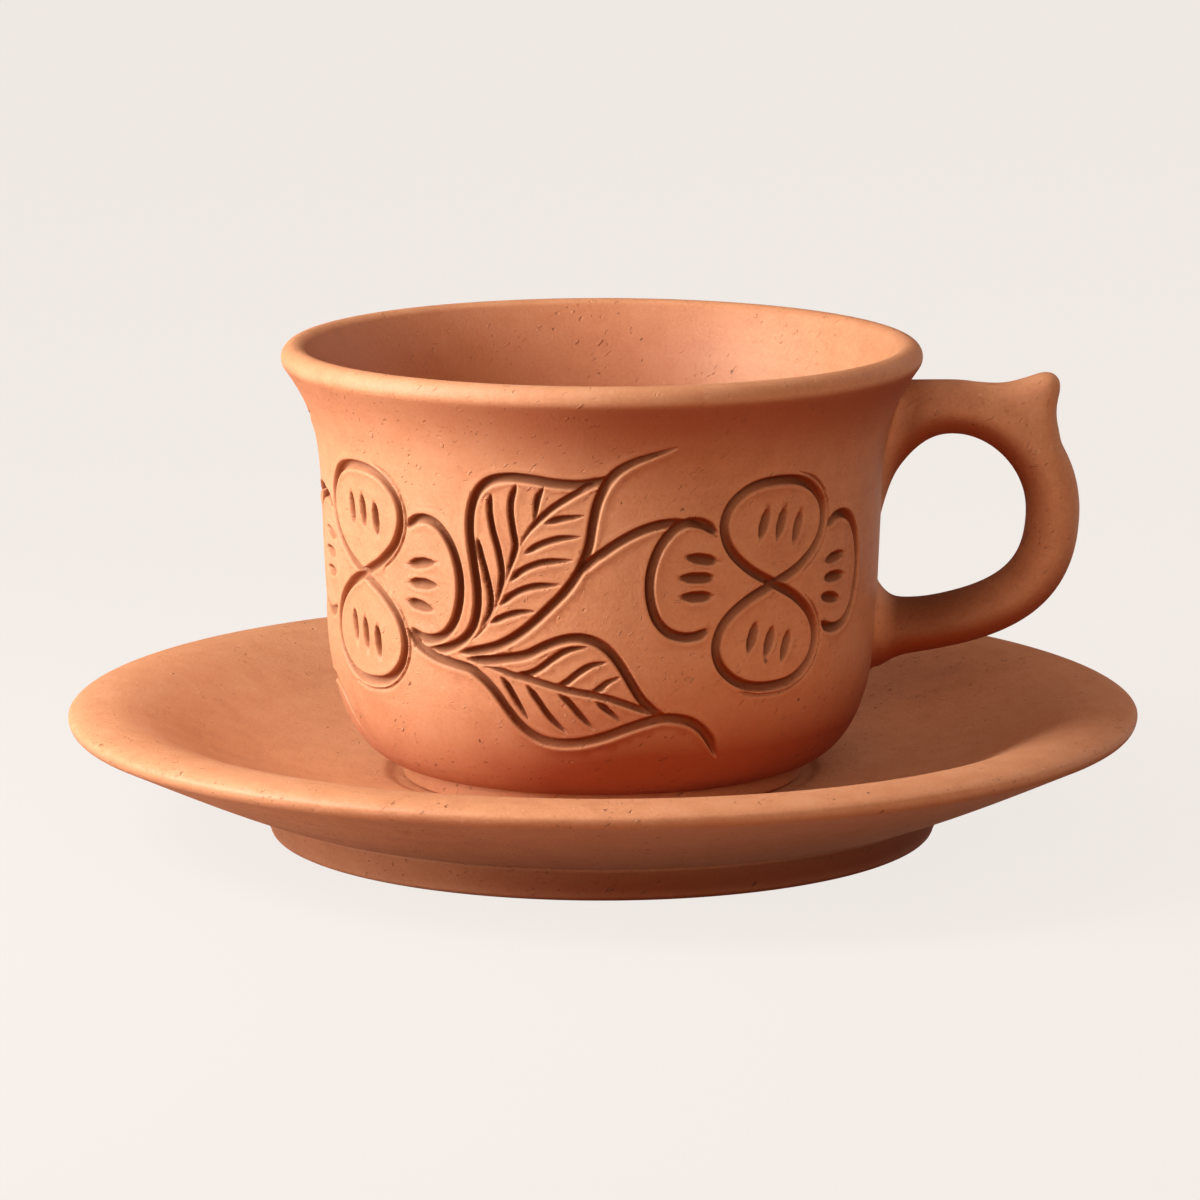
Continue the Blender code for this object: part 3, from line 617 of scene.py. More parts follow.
def carve(points, strokes):
    """Depth of the carving and lift of its burr in mm, and the shade painted in its grooves, at points
    of the unrolled wall.
    """
    depth = np.zeros(len(points))
    lift = np.zeros(len(points))
    painted_shade = np.zeros(len(points))
    for stroke in strokes:
        path = stroke["path"]
        reach = stroke["half_width"].max() + STROKE_REACH
        inside = np.all((points > path.min(0) - reach) & (points < path.max(0) + reach), axis=1)
        near = np.nonzero(inside)[0]
        if not len(near):
            continue
        start = path[:-1]
        step = path[1:] - start
        to_point = points[near][:, None, :] - start[None]
        share = np.clip((to_point * step).sum(2) / (step ** 2).sum(1), 0, 1)
        aside = to_point - share[..., None] * step
        distance = np.linalg.norm(aside, axis=2)
        closest = distance.argmin(1)
        rows = np.arange(len(near))
        distance = distance[rows, closest]
        steep = aside[rows, closest] @ STEEP_SIDE / np.maximum(distance, NO_DISTANCE)
        place = closest + share[rows, closest]
        half = np.interp(place, np.arange(len(path)), stroke["half_width"])
        bed = np.interp(place, np.arange(len(path)), stroke["depth"])
        share_out = distance / half
        groove = bed * np.clip(1 - share_out ** (BED_ROUNDNESS + BED_LEAN * steep), 0, None)
        # Painted shade in the groove, heavier on the steep side away from the light
        shade = np.clip(GROOVE_SHADE_SHARE + GROOVE_SHADE_LEAN * steep * share_out, GROOVE_SHADE_LEAST, 1)
        edge = np.clip((GROOVE_SHADE_END - share_out) / GROOVE_SHADE_FADE, 0, 1)
        shade_mask = np.clip(bed / SHADED_DEPTH, 0, 1) * shade * edge
        crest = np.exp(-(((distance - half - BURR_PLACE) / BURR_WIDTH) ** 2))
        burr = (BURR_HEIGHT - BURR_LEAN * steep) * bed * crest
        depth[near] = np.maximum(depth[near], groove)
        lift[near] = np.maximum(lift[near], burr)
        painted_shade[near] = np.maximum(painted_shade[near], shade_mask)
    return depth, lift * np.clip(1 - depth / BURR_LOST_DEPTH, 0, 1), painted_shade


def band_points(strokes):
    """Points of the unrolled band: a plain grid, and near the strokes rows along them instead."""
    left = HANDLE_ARC - math.tau * BAND_RADIUS
    edge_arcs = np.linspace(left, HANDLE_ARC, COLUMNS + 1)
    rows = int(round((BAND_TOP - BAND_BOTTOM) / GRID_STEP))
    heights = np.linspace(BAND_BOTTOM, BAND_TOP, rows + 1)
    border = [np.stack([edge_arcs, np.full(COLUMNS + 1, h)], 1) for h in (BAND_BOTTOM, BAND_TOP)]
    border += [np.stack([np.full(rows - 1, a), heights[1:-1]], 1) for a in (left, HANDLE_ARC)]
    grid_arcs = np.linspace(left, HANDLE_ARC, int(round((HANDLE_ARC - left) / GRID_STEP)) + 1)[1:-1]
    grid = np.stack(np.meshgrid(grid_arcs, heights[1:-1]), 2).reshape(-1, 2)
    rows_of_all = [rows_beside(stroke) for stroke in strokes]
    carved = np.concatenate([row for rank in zip(*rows_of_all) for row in rank])
    first = np.unique(np.floor(carved / FINEST_CELL).astype(int), axis=0, return_index=True)[1]
    carved = carved[np.sort(first)]
    taken = set(map(tuple, np.floor(carved / (GRID_STEP / 2)).astype(int)))
    free = [tuple(k) not in taken for k in np.floor(grid / (GRID_STEP / 2)).astype(int)]
    return np.concatenate(border + [grid[free], carved])


def wall_at(heights, profile):
    """Radius and outward normal of the cup's wall at the given heights."""
    normal = left_normals(profile)
    rising = profile[::-1, 1]
    radius = np.interp(heights, rising, profile[::-1, 0])
    normal_out = np.interp(heights, rising, normal[::-1, 0])
    normal_up = np.interp(heights, rising, normal[::-1, 1])
    return radius, normal_out, normal_up


def carved_band(outer):
    """Points, faces and painted groove shade of the band of the wall that carries the ornament."""
    strokes = all_strokes()
    flat = band_points(strokes)
    verts, _, faces, *_ = delaunay_2d_cdt([Vector(p) for p in flat], [], [], 0, SAME_POINT)
    flat = np.array([tuple(v) for v in verts])
    depth, lift, painted_shade = carve(flat, strokes)
    # Less painted shade in the grooves on the lit left of the wall
    painted_shade *= 1 - LIT_SHARE * np.exp(-(((flat[:, 0] - LIT_ARC) / LIT_REACH) ** 2))
    radius, normal_out, normal_up = wall_at(flat[:, 1], outer)
    moved = lift - depth
    angle = flat[:, 0] / BAND_RADIUS - math.pi / 2
    radius = radius + normal_out * moved
    height = flat[:, 1] + normal_up * moved
    points = np.stack([radius * np.cos(angle), radius * np.sin(angle), height], 1)
    return points, [list(f) for f in faces], painted_shade


def make_cup_bowl():
    """The cup's wall: turned above and below the carved band, with the band between."""
    outer = cup_outer_profile()
    inner = cup_inner_profile(outer)[::INNER_EVERY]
    lip = arc(cup_lip_centre(), WALL / 2, WALL / 2, math.pi - LIP_FLARE, -LIP_FLARE, LIP_ROWS)
    floor = line((0, inner[0][1]), inner[0], CUP_FLOOR_ROWS)
    top_radius = np.interp(BAND_TOP, outer[::-1, 1], outer[::-1, 0])
    bottom_radius = np.interp(BAND_BOTTOM, outer[::-1, 1], outer[::-1, 0])
    above = outer[outer[:, 1] > BAND_TOP + BAND_MARGIN]
    below = outer[outer[:, 1] < BAND_BOTTOM - BAND_MARGIN]
    upper = np.concatenate([floor[:-1], inner[:-1], lip, above[1:], [(top_radius, BAND_TOP)]])
    base = line(below[-1], (0, CUP_BASE), CUP_BASE_ROWS)
    lower = np.concatenate([[(bottom_radius, BAND_BOTTOM)], below, base[1:]])
    carved_points, carved_faces, band_shade = carved_band(outer)
    points, faces = joined([turned_grid(upper), turned_grid(lower), (carved_points, carved_faces)])
    # Shade is painted only in the carved band
    painted_shade = np.concatenate([np.zeros(len(points) - len(band_shade)), band_shade])
    return make_piece("carved_cup", hand_made(points, CUP_WAVINESS), faces, painted_shade)


def make_cup_foot():
    profile = ring_profile(
        FOOT_RADIUS - CUP_FOOT_INSET, FOOT_RADIUS - CUP_FOOT_INSET, FOOT_RADIUS - CUP_FOOT_WALL,
        CUP_BASE + CUP_FOOT_OVERLAP, SAUCER_FLOOR + CUP_FOOT_LIFT, CUP_FOOT_ROUND,
    )
    points, faces = turned_grid(profile, closed=True)
    return make_piece("cup_foot", hand_made(points, CUP_WAVINESS), faces)


def make_saucer():
    points, faces = turned_grid(saucer_profile())
    return make_piece("saucer", hand_made(points, SAUCER_WAVINESS), faces)


def make_saucer_foot():
    profile = ring_profile(
        SAUCER_FOOT_RADIUS, SAUCER_FOOT_BASE_RADIUS, SAUCER_FOOT_BASE_RADIUS - SAUCER_FOOT_WALL,
        DISH_BASE + SAUCER_FOOT_OVERLAP, TABLE, SAUCER_FOOT_ROUND,
    )
    points, faces = turned_grid(profile, closed=True)
    return make_piece("saucer_foot", points, faces)


# Handle

def spread(out, terms):
    """Extra size of a root at distances from the wall, added up from (size, reach, falloff) terms."""
    return sum(size * np.clip(1 - out / reach, 0, 1) ** falloff for size, reach, falloff in terms)


def handle_sections():
    """Centre, half height, half width and normal of the bar's sections, from upper to lower root."""
    upper = line((UPPER_ROOT, HANDLE_TOP), (HANDLE_CROWN, HANDLE_TOP), HANDLE_UPPER_ROWS)
    knuckle = np.array(KNUCKLE)
    reach = KNUCKLE[0] - HANDLE_CROWN
    drop = HANDLE_TOP - KNUCKLE[1]
    corner = bezier(
        upper[-1], upper[-1] + (reach * CORNER_PULL, 0),
        knuckle + (0, drop * CORNER_PULL), knuckle, HANDLE_UPPER_ROWS,
    )
    root = np.array(LOWER_ROOT)
    lower = bezier(
        knuckle, knuckle - (0, (KNUCKLE[1] - HANDLE_BOTTOM) * LOWER_PULL_AT_KNUCKLE),
        (root[0] + (KNUCKLE[0] - root[0]) * LOWER_PULL_AT_ROOT, HANDLE_BOTTOM), root, HANDLE_LOWER_ROWS,
    )
    lower = lower[lower[:, 0] > WAIST[0] - WALL / 2]
    path = np.concatenate([upper, corner[1:], lower[1:]])
    is_upper = np.arange(len(path)) < len(upper) + len(corner) - 1
    out = path[:, 0] - WAIST[0]
    above = np.where(is_upper, 0, spread(out, LOWER_ROOT_ABOVE))
    below = np.where(is_upper, spread(out, UPPER_ROOT_UNDER), spread(out, LOWER_ROOT_UNDER))
    centre = path.copy()
    centre[:, 1] += (above - below) / 2
    half_height = HANDLE_THICKNESS / 2 + (above + below) / 2
    half_width = HANDLE_WIDTH / 2 + spread(out, ROOT_SIDES)
    return centre, half_height, half_width, left_normals(path)


def horn_sections(root, pull):
    """Sections of one bar from a point of the bend to the round tip of the thumb rest."""
    left = 1 - np.linspace(0, 1, HORN_ROWS + 1)
    tip = np.array(HORN_TIP)
    path = bezier(root, pull, pull, tip, HORN_ROWS)
    half_height = HORN_TIP_HALF + (HANDLE_THICKNESS / 2 - HORN_THINNER - HORN_TIP_HALF) * left
    wider = (HANDLE_WIDTH / 2 - HORN_NARROWER - HORN_TIP_HALF) * left ** HORN_TAPER
    half_width = HORN_TIP_HALF + HORN_TIP_WIDER + wider
    forward = path[-1] - path[-2]
    forward /= np.linalg.norm(forward)
    angle = np.linspace(0, math.pi / 2, HORN_CAP_ROWS + 1)[1:-1]
    cap = tip + np.sin(angle)[:, None] * forward * HORN_TIP_HALF
    normal = left_normals(path)
    return (
        np.concatenate([path, cap]),
        np.concatenate([half_height, half_height[-1] * np.cos(angle)]),
        np.concatenate([half_width, half_width[-1] * np.cos(angle)]),
        np.concatenate([normal, np.repeat(normal[-1:], len(cap), axis=0)]),
    )


def bar(centre, half_height, half_width, normal, sides=BAR_SIDES):
    """Points and faces of a closed bar of oval sections, whose middle line lies in the XZ plane."""
    angle = np.arange(sides) * math.tau / sides
    aside = np.cos(angle)[:, None] * half_height[:, None, None]
    in_plane = centre[:, None, :] + normal[:, None, :] * aside
    across = np.sin(angle) * half_width[:, None]
    points = np.stack([in_plane[..., 0], across, in_plane[..., 1]], 2).reshape(-1, 3)
    faces = []
    for i in range(len(centre) - 1):
        for j in range(sides):
            k = (j + 1) % sides
            faces.append([i * sides + j, i * sides + k, (i + 1) * sides + k, (i + 1) * sides + j])
    faces.append(list(range(sides)))
    faces.append(list(range(len(points) - sides, len(points))))
    return points, faces


def wall_patch():
    """A block of clay just under the wall's skin behind the handle, for the roots to melt into."""
    height = np.linspace(PATCH_BOTTOM, PATCH_TOP, PATCH_ROWS)
    radius = wall_at(height, cup_outer_profile())[0]
    angle = np.linspace(-PATCH_HALF_ANGLE, PATCH_HALF_ANGLE, PATCH_COLUMNS)
    sheets = []
    for depth in (PATCH_DEPTH, PATCH_DEPTH + PATCH_THICKNESS):
        x = (radius - depth)[:, None] * np.cos(angle)
        y = (radius - depth)[:, None] * np.sin(angle)
        z = np.repeat(height[:, None], len(angle), axis=1)
        sheets.append(np.stack([x, y, z], 2).reshape(-1, 3))
    rows = len(height)
    columns = len(angle)
    i, j = np.meshgrid(np.arange(rows - 1), np.arange(columns - 1), indexing="ij")
    corner = (i * columns + j).reshape(-1)
    outside = np.stack([corner, corner + 1, corner + columns + 1, corner + columns], 1)
    back = rows * columns
    border = list(range(columns)) + [k * columns + columns - 1 for k in range(1, rows)]
    border += list(range(back - 2, back - columns - 1, -1))
    border += [k * columns for k in range(rows - 2, 0, -1)]
    faces = outside.tolist() + (outside[:, ::-1] + back).tolist()
    for first, second in zip(border, border[1:] + border[:1]):
        faces.append([second, first, first + back, second + back])
    return np.concatenate(sheets), faces


def handle_shade(mesh):
    """How much shade is painted on each point of the handle: in its corners and its loop, but not at
    the wall.
    """
    place = np.empty(len(mesh.vertices) * 3)
    mesh.vertices.foreach_get("co", place)
    x, y, z = place.reshape(-1, 3).T / MM
    normal = np.empty(len(mesh.vertices) * 3)
    mesh.vertex_normals.foreach_get("vector", normal)
    normal_x, _, normal_z = normal.reshape(-1, 3).T
    aside = LOOP_MIDDLE[0] - x
    above = LOOP_MIDDLE[1] - z
    inward = (normal_x * aside + normal_z * above) / np.hypot(aside, above)
    shade_share = LOOP_SHADE * np.clip(inward, 0, 1)
    for (out, up), (reach_out, reach_up), share in HANDLE_SHADE:
        shade_share += share * np.exp(-(((x - out) / reach_out) ** 2) - ((z - up) / reach_up) ** 2)
    from_wall = np.hypot(x, y) - wall_at(z, cup_outer_profile())[0]
    return shade_share * np.clip((from_wall - HANDLE_SHADE_START) / HANDLE_SHADE_FADE, 0, 1)


def make_handle():
    """The bar and its thumb rest, melted into one another and into the wall as pressed clay is."""
    bars = [handle_sections()] + [horn_sections(*ends) for ends in HORN_BARS]
    points, faces = joined([bar(*sections) for sections in bars] + [wall_patch()])
    piece = make_piece("looped_handle", hand_made(points, CUP_WAVINESS), faces)
    melt = piece.modifiers.new("melt", "REMESH")
    melt.mode = "VOXEL"
    melt.voxel_size = MELT_CELL * MM
    soften = piece.modifiers.new("soften", "SMOOTH")
    soften.factor = SOFTEN_SHARE
    soften.iterations = SOFTEN_ROUNDS
    depsgraph = bpy.context.evaluated_depsgraph_get()
    mesh = bpy.data.meshes.new_from_object(piece.evaluated_get(depsgraph))
    piece.modifiers.clear()
    piece.data = mesh
    mesh.shade_smooth()
    # Painted shade in the handle's corners and loop
    set_painted_shade(mesh, handle_shade(mesh))
    return piece


# Clay

class Nodes:
    """Builds the node tree of a material or a world step by step."""

    def __init__(self, owner):
        owner.use_nodes = True
        self.tree = owner.node_tree

    def node(self, kind, inputs=(), **settings):
        """A new node: inputs are (socket, value or output) pairs, settings are its properties."""
        new = self.tree.nodes.new(kind)
        for name, value in settings.items():
            setattr(new, name, value)
        for socket, value in inputs:
            if isinstance(value, bpy.types.NodeSocket):
                self.tree.links.new(value, new.inputs[socket])
            else:
                new.inputs[socket].default_value = value
        return new

    def feed(self, node, socket, output):
        """Links an output to a node that was there from the start."""
        self.tree.links.new(output, self.tree.nodes[node].inputs[socket])

    def math(self, operation, first, second, clamp=False):
        inputs = [(0, first), (1, second)]
        return self.node("ShaderNodeMath", inputs, operation=operation, use_clamp=clamp).outputs[0]

    def vector(self, operation, *inputs):
        return self.node("ShaderNodeVectorMath", inputs, operation=operation).outputs

    def split(self, vector):
        return self.node("ShaderNodeSeparateXYZ", [(0, vector)]).outputs

    def sum(self, *terms):
        """Adds up (output, factor) pairs."""
        total = None
        for output, factor in terms:
            if total is None:
                total = self.math("MULTIPLY", output, factor)
            else:
                inputs = [(0, output), (1, factor), (2, total)]
                total = self.node("ShaderNodeMath", inputs, operation="MULTIPLY_ADD").outputs[0]
        return total

    def fade(self, value, start, end):
        """0 at start, 1 at end, smooth between."""
        inputs = [("Value", value), ("From Min", start), ("From Max", end)]
        return self.node("ShaderNodeMapRange", inputs, interpolation_type="SMOOTHSTEP").outputs[0]

    def noise(self, place, scale, detail, roughness, fourth=None):
        inputs = [("Vector", place), ("Scale", scale), ("Detail", detail), ("Roughness", roughness)]
        if fourth is None:
            return self.node("ShaderNodeTexNoise", inputs).outputs
        inputs.append(("W", fourth))
        return self.node("ShaderNodeTexNoise", inputs, noise_dimensions="4D").outputs

    def spots(self, place, scale, smallest, largest):
        """Round spots, one to a cell and most of them tiny, and a random number for each cell."""
        cells = self.node("ShaderNodeTexVoronoi", [("Vector", place), ("Scale", scale)]).outputs
        pick = self.node("ShaderNodeSeparateColor", [(0, cells["Color"])]).outputs
        size = self.math("MULTIPLY", self.math("POWER", pick[0], SPOT_RARITY), largest - smallest)
        size = self.math("ADD", size, smallest)
        inner = self.math("MULTIPLY", size, SPOT_CORE)
        return self.fade(cells["Distance"], size, inner), pick[1]

    def ramp(self, value, *stops):
        """A colour that goes with a value through (position, colour) stops."""
        ramp = self.node("ShaderNodeValToRGB", [("Fac", value)])
        elements = ramp.color_ramp.elements
        elements[0].position, elements[0].color = stops[0]
        elements[1].position, elements[1].color = stops[-1]
        for position, colour in stops[1:-1]:
            elements.new(position).color = colour
        return ramp.outputs["Color"]

    def blend(self, first, second, share):
        inputs = [("Factor", share), (6, first), (7, second)]
        return self.node("ShaderNodeMix", inputs, data_type="RGBA").outputs[2]


CLAY_DARK = (0.51, 0.197, 0.087, 1)
CLAY_MIDDLE = (0.64, 0.278, 0.129, 1)
CLAY_PALE = (0.70, 0.343, 0.182, 1)
# Painted shade colour for the cup's inside, its lower wall and the undersides
CLAY_SHADED = (0.32, 0.058, 0.014, 1)
# Painted shade colour in the grooves and the handle's corners and loop
PAINTED_SHADE_DARK = (0.066, 0.005, 0.0005, 1)
SPECK_DARK = (0.12, 0.035, 0.016, 1)
GRIT_PALE = (0.80, 0.430, 0.270, 1)
# Specular tint: full, and dulled where shade is painted
GLOSS_UNSHADED = (1.0, 1.0, 1.0, 1)
GLOSS_SHADED = (0.25, 0.08, 0.03, 1)

# Noises in the clay: cells to a mm, detail and roughness
BLOTCHES = (0.03, 2.0, 0.5)
MOTTLE = (0.28, 3.0, 0.55)
GRAIN = (2.2, 2.0, 0.6)
WIPING = (1.1, 2.0, 0.5)
PATCHES = (0.09, 1.0, 0.5)
BENDING = (1.2, 1.0, 0.5)
BEND = (0.9, 0.9, 0.9)

# Spots in the clay: cells to a mm, then the smallest and the largest spot against its cell
GRIT = (0.62, 0.015, 0.250)
FLECKS = (0.85, 0.16, 0.32)
FLECK_LEAN = (0, math.radians(-40), 0)
FLECK_STRETCH = (2.2, 1.0, 0.7)
FLECK_PATCHES = (0.36, 0.58)
SPOT_RARITY = 5.0
SPOT_CORE = 0.55
SPECK_SHARE = 0.08
NICK_SHARE = 0.5

# Shares of the textures in the clay's tone and roughness, and how far spots and painted shade cover it
TONE = {"blotches": 0.50, "mottle": 0.40, "wiping": 0.16, "grain": 0.40}
TONE_STOPS = [(0.48, CLAY_DARK), (0.73, CLAY_MIDDLE), (0.98, CLAY_PALE)]
GRIT_COVER = {"grit": 0.30, "crumbs": 0.14}
SHADE_COVER = 0.92
SPECK_COVER = 0.65
ROUGH = {"mottle": 0.14, "grain": 0.14}
ROUGH_LEAST = 0.46
ROUGH_PAINTED_SHADE = 0.30
ROUGH_UNDER = 0.40
SPECULAR = 0.5

# Heights of the textures in mm; crumbs and nicks grow from their least to full between two heights
RELIEF = {"mottle": 0.10, "wiping": 0.012, "grain": 0.055, "specks": -0.12}
MARKS = {"crumbs": 0.32, "nicks": -0.22}
MARKS_LEAST = 0.50
LOW_DOWN = (34.0, 20.0)

# Painted shade: heights in mm between which it darkens the clay towards its foot, and how far it
# darkens the undersides
CUP_SHADED_LOW = (33.0, 12.0)
SAUCER_SHADED_LOW = (7.0, 2.0)
CUP_UNDERSIDE_SHADE = 0.85
SAUCER_UNDERSIDE_SHADE = 0.45
LOW_SHADE = 0.45
UNDER_FACING = (0.05, -0.65)
UNDER_ROUGH = (0.05, -0.60)

# The shaded side of the pot, from left to right, which gets that painted shade in full, and the least
# of it on the lit side
SHADED_SIDE = (-0.75, 0.15)
LIT_SIDE_SHADE = 0.35

# How far painted shade darkens the inside, and on which inner side: the left, away from the light
CUP_INSIDE_SHADE = 0.45
SAUCER_INSIDE_SHADE = 0.0
INSIDE_FACING = (-0.55, -0.92)
INSIDE_SHADED_SIDE = (0.72, 0.20)


def clay_textures(clay):
    """Outputs that the clay's colour, roughness and relief are made from, with places in mm."""
    coordinates = clay.node("ShaderNodeTexCoord").outputs
    place = clay.vector("SCALE", (0, coordinates["Object"]), (3, 1 / MM))[0]
    height = clay.split(place)[2]
    flat = clay.vector("MULTIPLY", (0, place), (1, (1, 1, 0)))[0]
    radius = clay.vector("LENGTH", (0, flat))["Value"]
    outward = clay.vector("NORMALIZE", (0, flat))[0]
    heading = clay.split(outward)
    axes = [(0, heading[0]), (1, heading[1]), (2, radius)]
    round_axis = clay.node("ShaderNodeCombineXYZ", axes).outputs[0]
    bending = clay.noise(place, *BENDING)["Color"]
    bent = clay.vector("MULTIPLY_ADD", (0, bending), (1, BEND), (2, place))[0]
    slant = [("Vector", bent), ("Rotation", FLECK_LEAN), ("Scale", FLECK_STRETCH)]
    slanted = clay.node("ShaderNodeMapping", slant, vector_type="TEXTURE").outputs[0]
    spots, kind = clay.spots(bent, *GRIT)
    specks = clay.math("MULTIPLY", spots, clay.math("LESS_THAN", kind, SPECK_SHARE))
    flecks, fleck_kind = clay.spots(slanted, *FLECKS)
    patches = clay.fade(clay.noise(place, *PATCHES)["Fac"], *FLECK_PATCHES)
    flecks = clay.math("MULTIPLY", flecks, patches)
    crumbs = clay.math("MULTIPLY", flecks, clay.math("GREATER_THAN", fleck_kind, NICK_SHARE))
    return {
        "blotches": clay.noise(place, *BLOTCHES)["Fac"],
        "mottle": clay.noise(place, *MOTTLE)["Fac"],
        "grain": clay.noise(place, *GRAIN)["Fac"],
        "wiping": clay.noise(round_axis, *WIPING, height)["Fac"],
        "specks": specks,
        "grit": clay.math("SUBTRACT", spots, specks),
        "crumbs": crumbs,
        "nicks": clay.math("SUBTRACT", flecks, crumbs),
        # The painted shade stored on the meshes
        "painted_shade": clay.node("ShaderNodeAttribute", attribute_name="carved").outputs["Fac"],
        "height": height,
        "side": heading[0],
        "facing_up": clay.split(coordinates["Normal"])[2],
        "facing_out": clay.vector("DOT_PRODUCT", (0, outward), (1, coordinates["Normal"]))["Value"],
    }


def weighted(clay, textures, shares):
    return clay.sum(*[(textures[name], share) for name, share in shares.items()])


def clay_colour(clay, textures, shaded_low, under, inside_shade):
    """Fired clay with grit in it, and painted shade: in the grooves and the handle's corners and loop,
    on the inside's left, and low down and underneath, most on the right.
    """
    colour = clay.ramp(weighted(clay, textures, TONE), *TONE_STOPS)
    colour = clay.blend(colour, GRIT_PALE, weighted(clay, textures, GRIT_COVER))
    # Painted shade in the grooves and the handle
    colour = clay.blend(colour, PAINTED_SHADE_DARK, clay.math("MULTIPLY", textures["painted_shade"], SHADE_COVER))
    # Painted shade on the inside's left
    inside = clay.fade(textures["facing_out"], *INSIDE_FACING)
    shade_mask = clay.math("MULTIPLY", inside, clay.fade(textures["side"], *INSIDE_SHADED_SIDE))
    colour = clay.blend(colour, CLAY_SHADED, clay.math("MULTIPLY", shade_mask, inside_shade))
    # Painted shade low down and underneath, most on the shaded right
    shaded_side = clay.math("MULTIPLY", clay.fade(textures["side"], *SHADED_SIDE), 1 - LIT_SIDE_SHADE)
    shaded_side = clay.math("ADD", shaded_side, LIT_SIDE_SHADE)
    underside = clay.fade(textures["facing_up"], *UNDER_FACING)
    shade_below = clay.sum((underside, under), (clay.fade(textures["height"], *shaded_low), LOW_SHADE))
    colour = clay.blend(colour, CLAY_SHADED, clay.math("MULTIPLY", shade_below, shaded_side, True))
    return clay.blend(colour, SPECK_DARK, clay.math("MULTIPLY", textures["specks"], SPECK_COVER))


def clay_roughness(clay, textures):
    rough = clay.math("ADD", weighted(clay, textures, ROUGH), ROUGH_LEAST)
    underside = clay.fade(textures["facing_up"], *UNDER_ROUGH)
    duller = clay.sum((textures["painted_shade"], ROUGH_PAINTED_SHADE), (underside, ROUGH_UNDER))
    return clay.math("ADD", rough, duller, True)


def clay_relief(clay, textures):
    """The fine relief of the surface, which has crumbs and nicks most of all low down."""
    low_down = clay.fade(textures["height"], *LOW_DOWN)
    strength = clay.math("ADD", clay.math("MULTIPLY", low_down, 1 - MARKS_LEAST), MARKS_LEAST)
    marks = clay.math("MULTIPLY", weighted(clay, textures, MARKS), strength)
    height = clay.math("ADD", weighted(clay, textures, RELIEF), marks)
    inputs = [("Height", height), ("Distance", MM), ("Strength", 1.0)]
    return clay.node("ShaderNodeBump", inputs).outputs[0]


def terracotta(name, shaded_low, under, inside_shade):
    """Unglazed terracotta, whose grooves and handle corners get painted shade and are duller, with less
    sheen.
    """
    material = bpy.data.materials.new(name)
    clay = Nodes(material)
    textures = clay_textures(clay)
    # Less sheen where shade is painted
    gloss = clay.ramp(textures["painted_shade"], (0.0, GLOSS_UNSHADED), (1.0, GLOSS_SHADED))
    shader = "Principled BSDF"
    clay.feed(shader, "Base Color", clay_colour(clay, textures, shaded_low, under, inside_shade))
    clay.feed(shader, "Roughness", clay_roughness(clay, textures))
    clay.feed(shader, "Specular Tint", gloss)
    clay.feed(shader, "Normal", clay_relief(clay, textures))
    clay.tree.nodes[shader].inputs["Specular IOR Level"].default_value = SPECULAR
    return material


def dress(piece, body, slot, material, *nodes):
    piece.data.materials.clear()
    piece.data.materials.append(material)
    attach(piece, body)
    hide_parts(*nodes)


# Studio

CAMERA_ELEVATION = math.radians(10.71)
CAMERA_DISTANCE = 0.8877
CAMERA_TARGET_HEIGHT = 0.0324
CAMERA_LENS = 189.56
CAMERA_SENSOR = 36
CAMERA_SHIFT = -2 / 1200
WHITE = (1.0, 1.0, 1.0)
WARM = (1.0, 0.76, 0.60)
ROSY = (1.0, 0.86, 0.80)
ROOM_WALLS = (0.11, 0.050, 0.034, 1)
ROOM_CEILING = (0.58, 0.46, 0.39, 1)
ROOM_HORIZON = 0.45
BACKDROP = (0.940, 0.888, 0.847, 1)
FLOOR_BOUNCE = (0.42, 0.29, 0.23, 1)
FLOOR_SEEN = (0.55, 0.52, 0.49, 1)
FLOOR_GLOW = 0.90
FLOOR_SIZE = 8

# Soft boxes: name, degrees left of the camera and up, distance, width and height in m, level, colour
LAMPS = [
    ("key", 71, 29, 0.38, 0.14, 0.30, 1.64, WHITE),
    ("low", 80, 6, 0.60, 0.25, 0.07, 0.20, WHITE),
    ("fill", -8, 22, 0.80, 0.50, 0.20, 0.25, WARM),
    ("right", -128, 24, 0.80, 0.40, 0.20, 0.11, ROSY),
]


def make_camera():
    camera = bpy.data.objects.new("camera", bpy.data.cameras.new("camera"))
    camera.data.lens = CAMERA_LENS
    camera.data.sensor_width = CAMERA_SENSOR
    camera.data.shift_x = CAMERA_SHIFT
    camera.location = (
        0,
        -CAMERA_DISTANCE * math.cos(CAMERA_ELEVATION),
        CAMERA_TARGET_HEIGHT + CAMERA_DISTANCE * math.sin(CAMERA_ELEVATION),
    )
    camera.rotation_euler = (math.pi / 2 - CAMERA_ELEVATION, 0, 0)
    bpy.context.scene.collection.objects.link(camera)
    bpy.context.scene.camera = camera


def make_lamp(name, leftward, upward, distance, width, height, level, colour):
    """A soft box; its level is how bright white clay that faces it would be."""
    azimuth = math.radians(leftward)
    elevation = math.radians(upward)
    lamp = bpy.data.objects.new(name, bpy.data.lights.new(name, "AREA"))
    lamp.data.shape = "RECTANGLE"
    lamp.data.size = width
    lamp.data.size_y = height
    lamp.data.energy = level * (math.pi * distance) ** 2
    lamp.data.color = colour
    away = Vector((
        -math.cos(elevation) * math.sin(azimuth),
        -math.cos(elevation) * math.cos(azimuth),
        math.sin(elevation),
    ))
    lamp.location = away * distance + Vector((0, 0, CAMERA_TARGET_HEIGHT))
    lamp.rotation_euler = away.to_track_quat("Z", "Y").to_euler()
    bpy.context.scene.collection.objects.link(lamp)


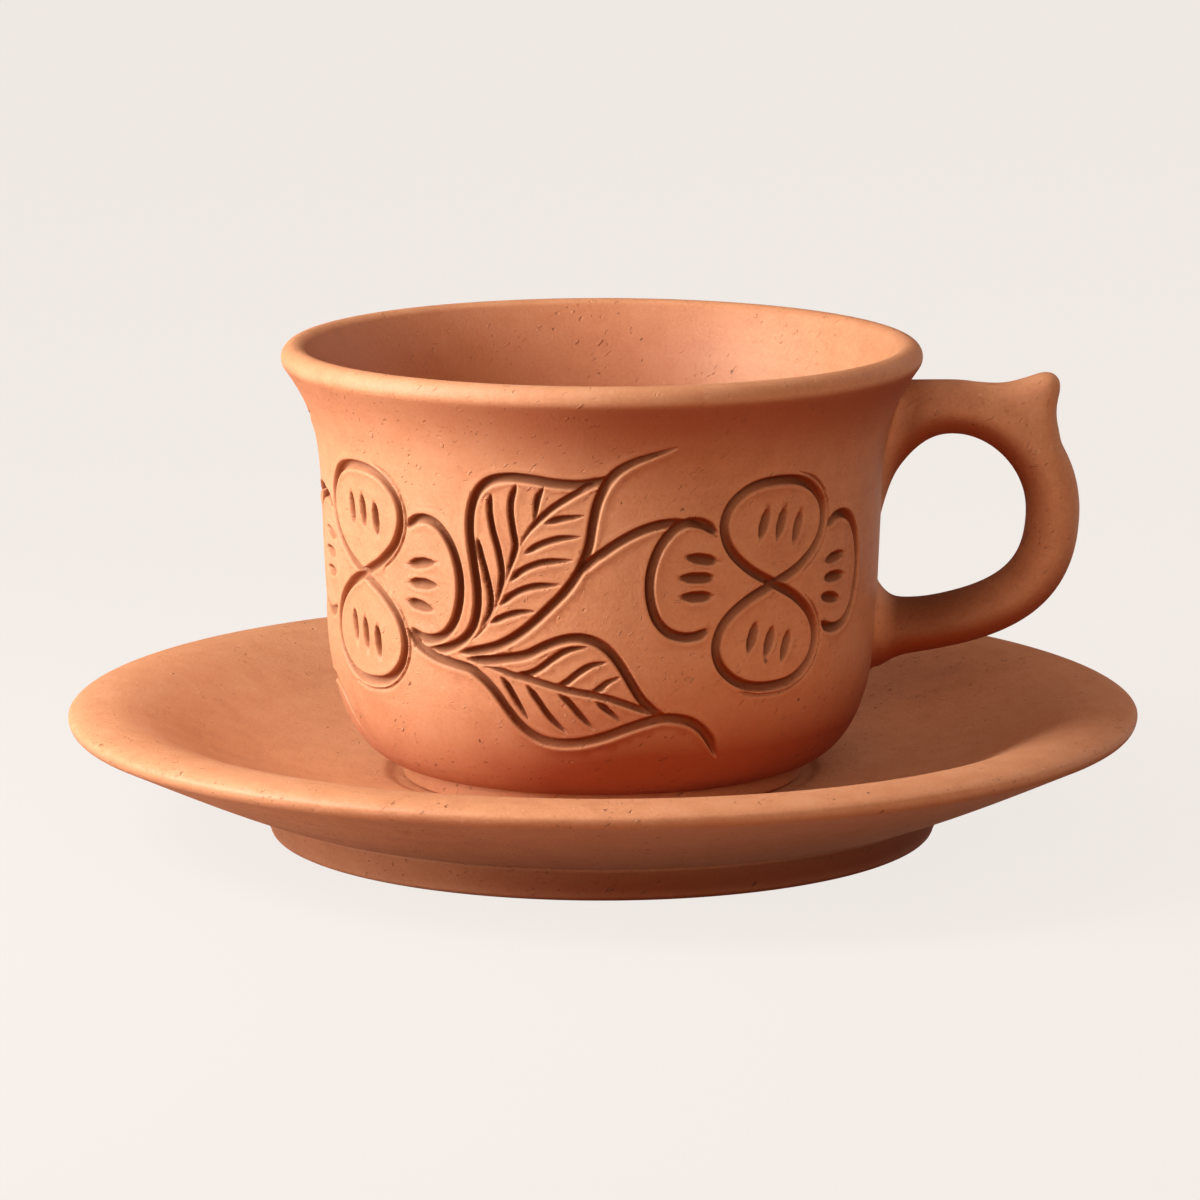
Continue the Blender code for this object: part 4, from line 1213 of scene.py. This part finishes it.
def make_world():
    """A dim warm room that is brighter overhead."""
    world = bpy.data.worlds.new("studio")
    bpy.context.scene.world = world
    room = Nodes(world)
    direction = room.node("ShaderNodeTexCoord").outputs["Generated"]
    colour = room.ramp(room.split(direction)["Z"], (ROOM_HORIZON, ROOM_WALLS), (1.0, ROOM_CEILING))
    room.feed("Background", "Color", colour)


def make_floor():
    """A pale floor: seen, it is even and bright with a soft shadow; the object gets a quiet bounce."""
    bpy.ops.mesh.primitive_plane_add(size=FLOOR_SIZE)
    floor = bpy.context.object
    floor.name = "floor"
    material = bpy.data.materials.new("floor")
    cover = Nodes(material)
    cover.tree.nodes.remove(cover.tree.nodes["Principled BSDF"])
    bounce = cover.node("ShaderNodeBsdfDiffuse", [("Color", FLOOR_BOUNCE)]).outputs[0]
    shaded = cover.node("ShaderNodeBsdfDiffuse", [("Color", FLOOR_SEEN)]).outputs[0]
    glow = cover.node("ShaderNodeEmission", [("Color", BACKDROP)]).outputs[0]
    seen = cover.node("ShaderNodeMixShader", [("Fac", FLOOR_GLOW), (1, shaded), (2, glow)]).outputs[0]
    ray = cover.node("ShaderNodeLightPath").outputs
    mirrored = cover.math("MAXIMUM", ray["Is Glossy Ray"], ray["Is Transmission Ray"])
    looking = cover.math("MAXIMUM", ray["Is Camera Ray"], mirrored)
    by_ray = cover.node("ShaderNodeMixShader", [("Fac", looking), (1, bounce), (2, seen)]).outputs[0]
    cover.feed("Material Output", "Surface", by_ray)
    floor.data.materials.append(material)


def main():
    bpy.context.scene.view_settings.view_transform = "Standard"
    cup_clay = terracotta("cup_terracotta", CUP_SHADED_LOW, CUP_UNDERSIDE_SHADE, CUP_INSIDE_SHADE)
    saucer_clay = terracotta("saucer_terracotta", SAUCER_SHADED_LOW, SAUCER_UNDERSIDE_SHADE, SAUCER_INSIDE_SHADE)
    dress(make_cup_bowl(), "cup", "cup_clay", cup_clay, "cup_bowl")
    dress(make_cup_foot(), "cup", "cup_clay", cup_clay, "cup_foot_ring")
    dress(make_handle(), "cup", "cup_clay", cup_clay, "handle", "thumb_rest")
    dress(make_saucer(), "saucer", "saucer_clay", saucer_clay, "saucer_dish")
    dress(make_saucer_foot(), "saucer", "saucer_clay", saucer_clay, "saucer_foot_ring")
    make_camera()
    make_world()
    for lamp in LAMPS:
        make_lamp(*lamp)
    make_floor()


main()
